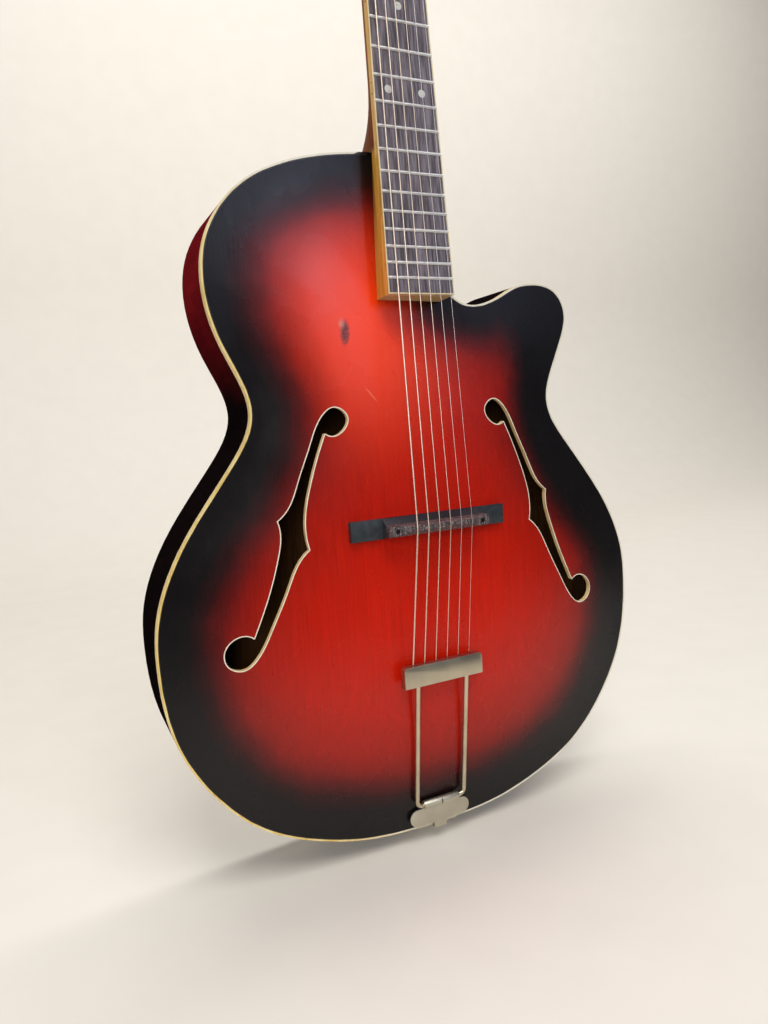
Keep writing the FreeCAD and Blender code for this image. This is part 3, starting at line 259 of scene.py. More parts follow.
def spot(tree, centre, radii, turnBy=0.0):  # soft round mask on the top, seen from the front, in mm
    place = add(tree, "TexCoord").outputs["Object"]
    flat = add(tree, "VectorMath", {0: place, 1: (1000, 0, 1000)}, operation="MULTIPLY").outputs[0]
    moved = add(tree, "Mapping", {"Vector": flat, "Location": (centre[0], 0, centre[1]),
                                  "Rotation": (0, math.radians(turnBy), 0),
                                  "Scale": (radii[0], 1, radii[1])}, vector_type="TEXTURE").outputs[0]
    length = add(tree, "VectorMath", {0: moved}, operation="LENGTH").outputs["Value"]
    return add(tree, "MapRange", {"Value": length, "From Min": 1.0, "From Max": 0.0},
               interpolation_type="SMOOTHSTEP").outputs[0]


def lacqueredBurst(name, stops, grainAcross):
    material, tree, shader = startMaterial(name, IOR=1.42, Specular_IOR_Level=0.42)
    reach = add(tree, "Attribute", attribute_name="edgeDistance").outputs["Fac"]
    spray = spread(tree, grit(tree, 26, 3), 0, 1, -0.036, 0.036)  # the gun's uneven feathering
    mist = spread(tree, grit(tree, 1.6, 2), 0, 1, -0.012, 0.012)  # droplets, drawn coarser than they are
    uneven = add(tree, "Math", {0: spray, 1: mist}, operation="ADD").outputs[0]
    inward = add(tree, "Math", {0: uneven, 1: reach}, operation="ADD").outputs[0]
    colour = add(tree, "ValToRGB", {"Fac": inward}, stops).outputs[0]
    grain = fibres(tree, grainAcross, 60)
    feed(shader, {"Roughness": spread(tree, grit(tree, 45, 4), 0.3, 0.7, 0.24, 0.31)})
    colour = shaded(tree, colour, spread(tree, grain, 0.3, 0.7, 0.86, 1.12))
    return material, tree, shader, colour, grain, inward


def bareInside(tree, colour, sign, woodColours):  # the unfinished inner face, told by its normal
    facing = add(tree, "SeparateXYZ", {"Vector": add(tree, "TexCoord").outputs["Normal"]}).outputs["Y"]
    inner = spread(tree, facing, 0.1 * sign, 0.3 * sign)
    wood = add(tree, "ValToRGB", {"Fac": fibres(tree, 1.4, 50)}, woodColours).outputs[0]
    return add(tree, "MixRGB", {"Fac": inner, "Color1": colour, "Color2": wood}).outputs[0]


bareWood = [(0.3, "#452B17"), (0.7, "#624125")]
material, tree, shader, colour, grain, inward = lacqueredBurst("sprayedLacquerSpruce", burst["stops"], 1.0)
# painted highlight: an orange-red glow over the middle of the upper bout, standing in for the lamps' light
# there
paintedGlow = spot(tree, burst["glowPlace"], burst["glowSize"])
glowShare = add(tree, "Math", {0: paintedGlow, 1: spread(tree, inward, 0.25, 0.5)}, operation="MULTIPLY").outputs[0]
colour = add(tree, "MixRGB", {"Fac": glowShare, "Color1": colour, "Color2": burst["paintedGlow"]}).outputs[0]
ragged = spread(tree, grit(tree, 2.2, 3), 0.2, 0.8, 0.2, 1.5)
scar = spot(tree, burst["scarPlace"], burst["scarSize"], burst["scarTurn"])
scar = add(tree, "Math", {0: scar, 1: ragged}, operation="MULTIPLY").outputs[0]
# painted highlight: a pale pink spot on the scar's upper lip, where the dent catches the light
dentHighlight = spot(tree, burst["dentHighlightPlace"], burst["dentHighlightSize"], burst["scarTurn"])
dentHighlight = add(tree, "Math", {0: dentHighlight, 1: ragged}, operation="MULTIPLY").outputs[0]
scarColour = add(tree, "ValToRGB", {"Fac": scar}, [
    (0.1, "#B5281A"), (0.35, "#98362C"), (0.65, "#742C26"), (0.95, "#561C18")]).outputs[0]
scarMask = spread(tree, scar, 0.1, 0.45)
colour = add(tree, "MixRGB", {"Fac": scarMask, "Color1": colour, "Color2": scarColour}).outputs[0]
colour = add(tree, "MixRGB", {"Fac": spread(tree, dentHighlight, 0.2, 0.9, 0.0, 0.6), "Color1": colour,
                              "Color2": "#CC8A7E"}).outputs[0]
scratch = spot(tree, burst["scratchPlace"], burst["scratchSize"], burst["scratchTurn"])
colour = add(tree, "MixRGB", {"Fac": spread(tree, scratch, 0.1, 0.5, 0.0, 0.7), "Color1": colour,
                              "Color2": "#E8765A"}).outputs[0]
worn = add(tree, "Math", {0: scarMask, 1: -0.5, 2: grain}, operation="MULTIPLY_ADD").outputs[0]
waves = grit(tree, 22, 1)  # the arch was carved and scraped by hand
uneven = add(tree, "Math", {0: waves, 1: 3.0, 2: worn}, operation="MULTIPLY_ADD").outputs[0]
relief(tree, shader, uneven, 0.12, 0.4)
feed(shader, {"Base Color": bareInside(tree, colour, 1, bareWood)})
sprayedLacquerSpruce = material

# Maple back under the same burst, with faint cross figure
material, tree, shader, colour, grain, inward = lacqueredBurst("sprayedLacquerMaple", [
    (0.0, "#0D0A0B"), (0.15, "#120A0B"), (0.3, "#3A0C0D"), (0.5, "#6A120D"), (1.0, "#84180E")], 0.7)
flame = spread(tree, fibres(tree, 9, 45, "x"), 0.3, 0.7, 0.75, 1.15)
relief(tree, shader, grain, 0.04, 0.25)
feed(shader, {"Base Color": bareInside(tree, shaded(tree, colour, flame), -1, bareWood)})
sprayedLacquerMaple = material

# Maple ribs: red shows through at the bass side's upper bout, black everywhere else
ribs = {"height": 580 * mm, "bassFrom": (0, -60 * mm)}  # end of the shading, and where the red side begins
material, tree, shader = startMaterial("shadedLacquerRibs", Roughness=0.5, Specular_IOR_Level=0.0)
place = add(tree, "SeparateXYZ", {"Vector": add(tree, "TexCoord").outputs["Object"]})
drift = spread(tree, grit(tree, 40, 3), 0, 1, -0.02, 0.02)
level = add(tree, "Math", {0: place.outputs["Z"], 1: drift}, operation="ADD").outputs[0]
colour = add(tree, "ValToRGB", {"Fac": spread(tree, level, 0.0, ribs["height"])}, [
    (0.0, "#0F0B0C"), (0.66, "#120B0C"), (0.74, "#4A0D11"), (0.82, "#72151A"), (0.91, "#641217"),
    (0.98, "#1C0B0D")]).outputs[0]
bassSide = spread(tree, place.outputs["X"], *ribs["bassFrom"])
colour = add(tree, "MixRGB", {"Fac": bassSide, "Color1": "#120B0C", "Color2": colour}).outputs[0]
figure = spread(tree, fibres(tree, 7, 40, "y"), 0.3, 0.7, 0.8, 1.15)
relief(tree, shader, fibres(tree, 0.8, 30), 0.03, 0.25)
feed(shader, {"Base Color": shaded(tree, colour, figure)})
dress(material, "rib_bass", "rib_treble", "back_binding")

# Bare spruce and maple inside: dry, aged brown, long grain
material, tree, shader = startMaterial("bareSpruce", Roughness=0.7)
colour = add(tree, "ValToRGB", {"Fac": fibres(tree, 1.4, 50)}, bareWood).outputs[0]
relief(tree, shader, fibres(tree, 0.6, 30), 0.08, 0.4)
feed(shader, {"Base Color": colour})
dress(material, "neck_block", "tail_block", "top_linings", "back_linings", "tone_bars")

# Celluloid binding, scraped and lacquered: ivory on the scraped face, golden where lacquer lies on the side,
# black where the spray was left on its inner part
material, tree, shader = startMaterial("scrapedCelluloid", Roughness=0.34, IOR=1.5)
across = add(tree, "Attribute", attribute_name="faceAcross").outputs["Fac"]
facing = add(tree, "SeparateXYZ", {"Vector": add(tree, "TexCoord").outputs["Normal"]}).outputs["Y"]
blend = add(tree, "Math", {0: grit(tree, 14, 3), 1: fibres(tree, 1.2, 40)}, operation="ADD").outputs[0]
side = add(tree, "ValToRGB", {"Fac": spread(tree, blend, 0.6, 1.4)}, [
    (0.0, "#C7A24E"), (0.5, "#DBBD70"), (1.0, "#EAD59B")]).outputs[0]
face = add(tree, "ValToRGB", {"Fac": spread(tree, blend, 0.6, 1.4)}, [
    (0.0, "#CFC5AC"), (1.0, "#E6DFCC")]).outputs[0]
place = add(tree, "SeparateXYZ", {"Vector": add(tree, "TexCoord").outputs["Object"]})
highlightFrom = {"across": (-90 * mm, -20 * mm), "up": (500 * mm, 560 * mm)}  # painted highlight: past both limits the face is paler, before them it keeps the golden side colour
paintedHighlight = add(tree, "Math", {0: spread(tree, place.outputs["X"], *highlightFrom["across"]),
                           1: spread(tree, place.outputs["Z"], *highlightFrom["up"])}, operation="MAXIMUM").outputs[0]
# painted highlight: the face is paler over the upper bout and on the treble side
face = add(tree, "MixRGB", {"Fac": paintedHighlight, "Color1": side, "Color2": face}).outputs[0]
scraped = spread(tree, across, 0.38, 0.46)
face = add(tree, "MixRGB", {"Fac": scraped, "Color1": "#0F0B0B", "Color2": face}).outputs[0]
turned = spread(tree, facing, -0.8, -0.5)
colour = add(tree, "MixRGB", {"Fac": turned, "Color1": face, "Color2": side}).outputs[0]
relief(tree, shader, grit(tree, 3, 2), 0.04, 0.3)
feed(shader, {"Base Color": colour})
scrapedCelluloid = material

# The same celluloid round the sound holes: left white by the scraper on its face, golden on the hole's wall
material, tree, shader = startMaterial("whiteCelluloid", Roughness=0.36, IOR=1.5)
white = add(tree, "ValToRGB", {"Fac": grit(tree, 9, 3)}, [(0.3, "#D9CBB2"), (0.7, "#EDE2CF")]).outputs[0]
golden = add(tree, "ValToRGB", {"Fac": grit(tree, 9, 3)}, [(0.3, "#E2BC7C"), (0.7, "#F4D8A0")]).outputs[0]
facing = add(tree, "SeparateXYZ", {"Vector": add(tree, "TexCoord").outputs["Normal"]}).outputs["Y"]
wall = spread(tree, facing, -0.8, -0.4)
colour = add(tree, "MixRGB", {"Fac": wall, "Color1": white, "Color2": golden}).outputs[0]
feed(shader, {"Base Color": colour})
relief(tree, shader, grit(tree, 3, 2), 0.03, 0.3)
dress(material, "f_hole_bindings")

# Celluloid on the fingerboard: cream on the face, deep amber where the lacquer lies on its side
material, tree, shader = startMaterial("amberCelluloid", Roughness=0.32, IOR=1.5)
sideways = add(tree, "SeparateXYZ", {"Vector": add(tree, "TexCoord").outputs["Normal"]}).outputs["X"]
sideways = add(tree, "Math", {0: sideways}, operation="ABSOLUTE").outputs[0]
amber = add(tree, "ValToRGB", {"Fac": fibres(tree, 2, 40)}, [(0.3, "#C98A2C"), (0.7, "#E9BC60")]).outputs[0]
scuffs = spread(tree, fibres(tree, 1.5, 9, detail=4), 0.6, 0.7, 0.0, 0.8)
amber = add(tree, "MixRGB", {"Fac": scuffs, "Color1": amber, "Color2": "#7A4516"}).outputs[0]
cream = add(tree, "ValToRGB", {"Fac": fibres(tree, 2, 40)}, [(0.3, "#C2AD7E"), (0.7, "#DDCFA8")]).outputs[0]
turned = spread(tree, sideways, 0.5, 0.8)
colour = add(tree, "MixRGB", {"Fac": turned, "Color1": cream, "Color2": amber}).outputs[0]
relief(tree, shader, grit(tree, 3, 2), 0.03, 0.3)
feed(shader, {"Base Color": colour})
dress(material, "fingerboard_binding")

# Stained mahogany neck under dull lacquer: short pores, clear golden finish on the block over the body,
# bare end grain where that block ends
stainFrom = (571 * mm, 566 * mm)  # the body's upper edge, where the golden finish turns to stain
material, tree, shader = startMaterial("stainedNeckWood", Roughness=0.42, Specular_IOR_Level=0.03)
colour = add(tree, "ValToRGB", {"Fac": fibres(tree, 3, 90, detail=5)}, [
    (0.25, "#52230A"), (0.5, "#7E3A0A"), (0.75, "#9C5416")]).outputs[0]
golden = add(tree, "ValToRGB", {"Fac": fibres(tree, 3, 90, detail=5)}, [
    (0.25, "#B06E22"), (0.5, "#CE943C"), (0.75, "#E0B25E")]).outputs[0]
height = add(tree, "SeparateXYZ", {"Vector": add(tree, "TexCoord").outputs["Object"]}).outputs["Z"]
overBody = spread(tree, height, *stainFrom)
colour = add(tree, "MixRGB", {"Fac": overBody, "Color1": colour, "Color2": golden}).outputs[0]
down = add(tree, "SeparateXYZ", {"Vector": add(tree, "TexCoord").outputs["Normal"]}).outputs["Z"]
endGrain = add(tree, "ValToRGB", {"Fac": grit(tree, 1.2, 4)}, [
    (0.3, "#A98A5C"), (0.7, "#D0B384")]).outputs[0]
sawn = spread(tree, down, -0.6, -0.8)
colour = add(tree, "MixRGB", {"Fac": sawn, "Color1": colour, "Color2": endGrain}).outputs[0]
pores = spread(tree, fibres(tree, 0.5, 9), 0.62, 0.7, 1.0, 0.55)
relief(tree, shader, pores, 0.03, 0.3)
feed(shader, {"Base Color": shaded(tree, colour, pores)})
dress(material, "neck")

# Oiled rosewood board: dark streaks, open pores, dry grey bloom
material, tree, shader = startMaterial("oiledRosewood", Roughness=0.5)
streak = fibres(tree, 1.7, 90, detail=5)
colour = add(tree, "ValToRGB", {"Fac": streak}, [
    (0.3, "#30282C"), (0.45, "#544A4F"), (0.57, "#6E646A"), (0.75, "#857B82")]).outputs[0]
pores = spread(tree, fibres(tree, 0.45, 8), 0.6, 0.68, 1.0, 0.5)
relief(tree, shader, pores, 0.08, 0.4)
feed(shader, {"Base Color": shaded(tree, colour, pores),
              "Roughness": spread(tree, streak, 0.3, 0.7, 0.55, 0.42)})
dress(material, "fingerboard")

# Rosewood saddle, planed across: slanting tool marks, pale worn specks
material, tree, shader = startMaterial("planedRosewood", Roughness=0.55)
place = add(tree, "TexCoord").outputs["Object"]
slant = add(tree, "Mapping", {"Vector": place, "Rotation": (0, math.radians(38), 0),
                              "Scale": (900, 300, 160)})  # marks 1.1 mm apart and 6 mm long
marks = add(tree, "TexNoise", {"Vector": slant.outputs[0], "Scale": 1.0, "Detail": 3.0}).outputs["Fac"]
colour = add(tree, "ValToRGB", {"Fac": marks}, [
    (0.34, "#171313"), (0.5, "#433A3B"), (0.66, "#716263")]).outputs[0]
specks = spread(tree, grit(tree, 1.1, 2), 0.6, 0.68, 0.0, 0.8)
colour = add(tree, "MixRGB", {"Fac": specks, "Color1": colour, "Color2": "#B9A39A"}).outputs[0]
relief(tree, shader, marks, 0.2, 0.6)
feed(shader, {"Base Color": colour})
planedRosewood = material

# Ebonised base: black stain over close wood, scuffed grey with a few fine scratches
saddleShade = (48 * mm, 40 * mm)  # from the middle: painted shade, darkest under the saddle
material, tree, shader = startMaterial("ebonisedWood", Roughness=0.45)
colour = add(tree, "ValToRGB", {"Fac": grit(tree, 6, 5)}, [
    (0.3, "#181B1F"), (0.5, "#24292D"), (0.7, "#30363A")]).outputs[0]
offCentre = add(tree, "SeparateXYZ", {"Vector": add(tree, "TexCoord").outputs["Object"]}).outputs["X"]
offCentre = add(tree, "Math", {0: offCentre}, operation="ABSOLUTE").outputs[0]
middle = spread(tree, offCentre, *saddleShade)
# painted shade: the base darkens towards its middle, under the saddle
colour = add(tree, "MixRGB", {"Fac": middle, "Color1": colour, "Color2": "#17161F"}).outputs[0]
stain = spread(tree, fibres(tree, 0.8, 16, "x"), 0.3, 0.7, 0.88, 1.12)
scratches = spread(tree, fibres(tree, 0.3, 9, "x"), 0.68, 0.74, 0.0, 0.4)
stained = shaded(tree, colour, stain)
colour = add(tree, "MixRGB", {"Fac": scratches, "Color1": stained, "Color2": "#505452"}).outputs[0]
relief(tree, shader, scratches, 0.05, 0.4)
feed(shader, {"Base Color": colour})
ebonisedWood = material


# Nickel plate, dulled with age: warm grey film in faint clouds, hairline wipe marks
def agedNickel(name, tones, rough, seam=None):
    material, tree, shader = startMaterial(name, Metallic=1.0)
    film = grit(tree, 22, 3)
    wipe = fibres(tree, 0.4, 16, "x")
    colour = add(tree, "ValToRGB", {"Fac": film}, tones).outputs[0]
    if seam:
        closed = spread(tree, spot(tree, *seam), 0.2, 0.5)
        colour = add(tree, "MixRGB", {"Fac": closed, "Color1": colour, "Color2": "#3E3B38"}).outputs[0]
    dull = add(tree, "Math", {0: spread(tree, film, 0.3, 0.7, rough - 0.03, rough + 0.03),
                              1: spread(tree, wipe, 0.3, 0.7, -0.02, 0.02)}, operation="ADD").outputs[0]
    relief(tree, shader, wipe, 0.006, 0.2)
    feed(shader, {"Base Color": colour, "Roughness": dull})
    return material


barNickel = agedNickel("agedNickelPlate", [(0.3, "#B3AA96"), (0.7, "#C6BDA6")], 0.34)
wireNickel = agedNickel("drawnNickelWire", [(0.3, "#C4B69C"), (0.7, "#D6C9AE")], 0.3)
bracketNickel = agedNickel("mattNickelSheet", [(0.3, "#BDB8A6"), (0.7, "#CFC9B5")], 0.44,
                           seam=((0, 37.2), (0.9, 4.5)))  # the rolled sheet meets at the knuckle's middle
hardwareNickel = agedNickel("polishedNickel", [(0.3, "#B9B7B0"), (0.7, "#CECBC2")], 0.2)
fretNickel = agedNickel("fretWire", [(0.3, "#ECE8E2"), (0.7, "#F6F3EE")], 0.5)
screwSteel = agedNickel("darkenedSteel", [(0.3, "#3A3632"), (0.7, "#524C46")], 0.42)

# Strings: the two high ones plain steel, the four low ones wound in bronze
plainSide = {  # the line between second and third string: from and to height, x at each
    "body": (167 * mm, 921 * mm, 10.6 * mm, 7.2 * mm),
    "head": (925.9 * mm, 1045 * mm, 7.2 * mm, 22.2 * mm),
}
material, tree, shader = startMaterial("stringWire", Metallic=1.0, Roughness=0.4)
place = add(tree, "SeparateXYZ", {"Vector": add(tree, "TexCoord").outputs["Object"]})
alongBody = spread(tree, place.outputs["Z"], *plainSide["body"])
alongHead = spread(tree, place.outputs["Z"], *plainSide["head"])
split = add(tree, "Math", {0: alongBody, 1: alongHead}, operation="MAXIMUM").outputs[0]
plain = add(tree, "Math", {0: place.outputs["X"], 1: split}, operation="GREATER_THAN").outputs[0]
windings = fibres(tree, 30, 0.35, "z", 1)  # one wrap of the winding wire
bronze = add(tree, "ValToRGB", {"Fac": windings}, [(0.35, "#E0C9B2"), (0.65, "#F0DFCC")]).outputs[0]
steel = add(tree, "ValToRGB", {"Fac": grit(tree, 5, 2)}, [(0.3, "#DDD5CE"), (0.7, "#EAE4DC")]).outputs[0]
colour = add(tree, "MixRGB", {"Fac": plain, "Color1": bronze, "Color2": steel}).outputs[0]
feed(shader, {"Base Color": colour})
relief(tree, shader, windings, 0.02, 0.3)
stringWire = material

# Mother of pearl dots: cloudy white layers with a cool sheen
material, tree, shader = startMaterial("shellPearl", Roughness=0.2, IOR=1.56, Coat_Weight=0.4)
feed(shader, {"Base Color": add(tree, "ValToRGB", {"Fac": fibres(tree, 1.6, 4, "x", 4)}, [
    (0.3, "#9C9890"), (0.5, "#C9C5B8"), (0.75, "#B4BAB6")]).outputs[0]})
dress(material, "position_dots")

# Black celluloid: smooth, faint polishing swirls
material, tree, shader = startMaterial("blackCelluloid", Roughness=0.25, IOR=1.5)
feed(shader, {"Base Color": add(tree, "ValToRGB", {"Fac": grit(tree, 8, 4)}, [
    (0.3, "#0D0C0D"), (0.7, "#181618")]).outputs[0],
    "Roughness": spread(tree, fibres(tree, 0.8, 12, "x"), 0.3, 0.7, 0.2, 0.32)})
relief(tree, shader, grit(tree, 6, 2), 0.02, 0.2)
blackCelluloid = material
dress(material, "headstock_veneer", "side_dots")

# Bone nut: creamy, fine pores, slight translucence
material, tree, shader = startMaterial("polishedBone", Roughness=0.35, Subsurface_Weight=0.1,
                                       Subsurface_Scale=1 * mm)
feed(shader, {"Base Color": add(tree, "ValToRGB", {"Fac": fibres(tree, 0.6, 6, "x", 4)}, [
    (0.3, "#CDBB93"), (0.6, "#E8DDC2")]).outputs[0]})
relief(tree, shader, grit(tree, 0.7, 2), 0.03, 0.3)
polishedBone = material

# Steel rod inside the neck and brass gears: machined, turning marks
material, tree, shader = startMaterial("drawnSteel", Metallic=1.0, Roughness=0.4)
feed(shader, {"Base Color": add(tree, "ValToRGB", {"Fac": fibres(tree, 0.6, 20)}, [
    (0.3, "#7C7B78"), (0.7, "#A09E99")]).outputs[0]})
dress(material, "truss_rod")
material, tree, shader = startMaterial("cutBrass", Metallic=1.0, Roughness=0.32)
feed(shader, {"Base Color": add(tree, "ValToRGB", {"Fac": grit(tree, 3, 4)}, [
    (0.3, "#9A7A38"), (0.7, "#C6A458")]).outputs[0]})
relief(tree, shader, fibres(tree, 0.3, 4, "x"), 0.02, 0.3)
dress(material, *["tuner_gear_%d" % n for n in range(1, 7)])

# Cream plastic buttons: moulded, slightly yellowed in faint clouds
material, tree, shader = startMaterial("mouldedCreamPlastic", Roughness=0.3, IOR=1.5, Subsurface_Weight=0.08,
                                       Subsurface_Scale=2 * mm)
feed(shader, {"Base Color": add(tree, "ValToRGB", {"Fac": grit(tree, 7, 4)}, [
    (0.3, "#D6C492"), (0.7, "#E9DCB8")]).outputs[0]})
relief(tree, shader, grit(tree, 1.5, 2), 0.02, 0.2)
dress(material, *["tuner_button_%d" % n for n in range(1, 7)])

dress(fretNickel, "frets")
dress(screwSteel, "bridge_screw_bass", "bridge_screw_treble")
dress(hardwareNickel, "tuner_bushings", "end_pin", *["tuner_worm_%d" % n for n in range(1, 7)],
      *["tuner_post_%d" % n for n in range(1, 7)])
dress(wireNickel, "tailpiece_rods")
print("finishes on", len(nodes), "nodes")

# Plates: the solid's own skin, cut into cells that carry each point's distance from the edge
plates = {
    "cell": 10 * mm,
    "line": 1 * mm,  # spacing of the points that stand for the edge line
    "inset": 1.2 * mm,  # half the binding's width, as the distance is taken to its inner side
    "drifts": {  # how much further in the black reaches, by side, above or below the waist, and at the tail
        "bassUpper": -4 * mm, "bassLower": 3 * mm,
        "trebleUpper": -6 * mm, "trebleLower": 7 * mm, "tail": 7 * mm,
        "horn": 22 * mm, "besideHole": 13 * mm,  # added over the horn, and outside the treble sound hole
    },
    "waist": (340 * mm, 410 * mm), "halfWidth": 120 * mm, "tailReach": (150 * mm, 70 * mm),
    "hornStart": (80 * mm, 125 * mm), "holeStart": (90 * mm, 140 * mm),
    "holeRise": (220 * mm, 290 * mm), "holeFall": (400 * mm, 340 * mm),
    "rings": (14 * mm, 28 * mm), "directions": 8,  # points around that a distance is evened out over
    "evenFrom": (14 * mm, 36 * mm),  # distances at which this starts and is whole
    "crease": 30,  # degrees at which an edge stays sharp
}


def edgeTree(binding):  # the edge line as a search tree, flat in x and z
    mesh = nodes[binding].data
    points = []
    for edge in mesh.edges:
        start, end = [mesh.vertices[i].co for i in edge.vertices]
        steps = max(1, math.ceil((end - start).length / plates["line"]))
        points += [start.lerp(end, step / steps) for step in range(steps)]
    search = KDTree(len(points))
    for i, point in enumerate(points):
        search.insert((point.x, 0, point.z), i)
    search.balance()
    return search


def ease(value, start, end):  # 0 at start, 1 at end, smooth between
    share = min(1, max(0, (value - start) / (end - start)))
    return share * share * (3 - 2 * share)


def evenReach(search, place):  # distance to the edge, rounded off where two edges are equally near
    far = search.find((place.x, 0, place.z))[2]
    around = [far]
    for ring in plates["rings"]:
        for step in range(plates["directions"]):
            angle = 2 * math.pi * step / plates["directions"]
            point = (place.x + ring * math.cos(angle), 0, place.z + ring * math.sin(angle))
            around.append(search.find(point)[2])
    return far + ease(far, *plates["evenFrom"]) * (sum(around) / len(around) - far)


def blackDrift(place):  # blend of the drifts around a point
    drifts = plates["drifts"]
    above = ease(place.z, *plates["waist"])
    treble = ease(place.x, -plates["halfWidth"], plates["halfWidth"])
    bassPart = drifts["bassLower"] + above * (drifts["bassUpper"] - drifts["bassLower"])
    treblePart = drifts["trebleLower"] + above * (drifts["trebleUpper"] - drifts["trebleLower"])
    across = bassPart + treble * (treblePart - bassPart)
    across += above * ease(place.x, *plates["hornStart"]) * drifts["horn"]
    beside = ease(place.z, *plates["holeRise"]) * ease(place.z, *plates["holeFall"])
    across += beside * ease(place.x, *plates["holeStart"]) * drifts["besideHole"]
    return across + ease(place.z, *plates["tailReach"]) * (drifts["tail"] - across)


def shadedPlate(node, binding, name, material, slot):
    piece = copyOf(node, name)
    low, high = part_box(node)
    bpy.ops.object.mode_set(mode="EDIT")
    for axis in (0, 2):
        across = [0, 0, 0]
        across[axis] = 1
        for i in range(1, math.ceil((high[axis] - low[axis]) / plates["cell"])):
            cut = [0, 0, 0]
            cut[axis] = low[axis] + i * plates["cell"]
            bpy.ops.mesh.select_all(action="SELECT")
            bpy.ops.mesh.bisect(plane_co=cut, plane_no=across)
    bpy.ops.object.mode_set(mode="OBJECT")
    search = edgeTree(binding)
    shading = piece.data.attributes.new("edgeDistance", "FLOAT", "POINT")
    for i, vertex in enumerate(piece.data.vertices):
        far = evenReach(search, vertex.co) + plates["inset"]
        shading.data[i].value = (far - blackDrift(vertex.co)) / (burst["reach"] * mm)
    bpy.ops.object.shade_smooth_by_angle(angle=math.radians(plates["crease"]))
    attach(piece, "guitar_body")
    return settle(piece, material, slot, node)


topPlate = shadedPlate("top_plate", "top_binding", "topPlate", sprayedLacquerSpruce, "spruce_top")
backPlate = shadedPlate("back_plate", "back_binding", "backPlate", sprayedLacquerMaple, "maple_body")

# Edge binding: the solid's own skin, each point knowing how far out it lies from the plate
edging = {"wide": 2.4 * mm}
piece = copyOf("top_binding", "topBinding")
search = edgeTree("top_plate")
outward = piece.data.attributes.new("faceAcross", "FLOAT", "POINT")
for i, vertex in enumerate(piece.data.vertices):
    outward.data[i].value = search.find((vertex.co.x, 0, vertex.co.z))[2] / edging["wide"]
bpy.ops.object.shade_smooth_by_angle(angle=math.radians(plates["crease"]))
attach(piece, "guitar_body")
settle(piece, scrapedCelluloid, "ivory_celluloid", "top_binding")
print("plates cut into cells:", len(topPlate.data.polygons), len(backPlate.data.polygons))

# Solids with hard edges, the edges eased as filing and buffing leave them
easing = {  # edge width in mm, body, finish, slot
    "bridge_base": (0.5, "guitar_body", ebonisedWood, "ebonised_wood"),
    "bridge_saddle": (0.5, "saddle", planedRosewood, "rosewood"),
    "tailpiece_bar": (0.35, "tailpiece", barNickel, "nickel"),
    "tailpiece_bracket": (0.25, "guitar_body", bracketNickel, "nickel"),
    "nut": (0.3, "guitar_body", polishedBone, "bone"),
    "truss_rod_cover": (0.3, "guitar_body", blackCelluloid, "black_plastic"),
    "tuner_plate_bass": (0.25, "guitar_body", hardwareNickel, "nickel"),
    "tuner_plate_treble": (0.25, "guitar_body", hardwareNickel, "nickel"),
}
easedEdge = {"flat": 0.5, "sharp": 40, "crease": 35, "steps": 2}  # angles in degrees, steps across
for node, (width, body, material, slot) in easing.items():
    piece = copyOf(node, node + "Eased")
    bpy.ops.object.mode_set(mode="EDIT")
    bpy.ops.mesh.select_all(action="SELECT")
    bpy.ops.mesh.dissolve_limited(angle_limit=math.radians(easedEdge["flat"]))
    bpy.ops.object.mode_set(mode="OBJECT")
    edge = piece.modifiers.new("edge", "BEVEL")
    edge.width = width * mm
    edge.segments = easedEdge["steps"]
    edge.limit_method = "ANGLE"
    edge.angle_limit = math.radians(easedEdge["sharp"])
    bpy.ops.object.modifier_apply(modifier="edge")
    bpy.ops.object.shade_smooth_by_angle(angle=math.radians(easedEdge["crease"]))
    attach(piece, body)
    settle(piece, material, slot, node)
print("edges eased on", len(easing), "pieces")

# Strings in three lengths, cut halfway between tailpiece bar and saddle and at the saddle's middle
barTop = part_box("tailpiece_bar")[1][2]
saddleLow, saddleHigh = [corner[2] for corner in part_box("bridge_saddle")]
saddleLine = (saddleLow + saddleHigh) / 2
halfway = (barTop + saddleLow) / 2
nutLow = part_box("nut")[0][2]
pastHead = 2  # higher than the headstock
wireCrease = 40
lengths = {  # lower and upper cut, the two bodies, and where the first lets go and the second takes over
    "tailStrings": (0, halfway, "tailpiece", "guitar_body", barTop, halfway),
    "restStrings": (halfway, saddleLine, "guitar_body", "saddle", halfway, saddleLow),
    "speakingStrings": (saddleLine, pastHead, "saddle", "guitar_body", saddleHigh, nutLow),
}
for name, (low, high, first, second, start, end) in lengths.items():
    piece = copyOf("strings", name)
    bpy.ops.object.mode_set(mode="EDIT")
    bpy.ops.mesh.select_all(action="SELECT")
    bpy.ops.mesh.bisect(plane_co=(0, 0, low), plane_no=(0, 0, 1), use_fill=True, clear_inner=True)
    bpy.ops.mesh.select_all(action="SELECT")
    bpy.ops.mesh.bisect(plane_co=(0, 0, high), plane_no=(0, 0, 1), use_fill=True, clear_outer=True)
    bpy.ops.object.mode_set(mode="OBJECT")
    bpy.ops.object.shade_smooth_by_angle(angle=math.radians(wireCrease))
    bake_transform(piece)
    settle(piece, stringWire, "string_metal", "strings")
print("strings cut in", len(lengths), "lengths")

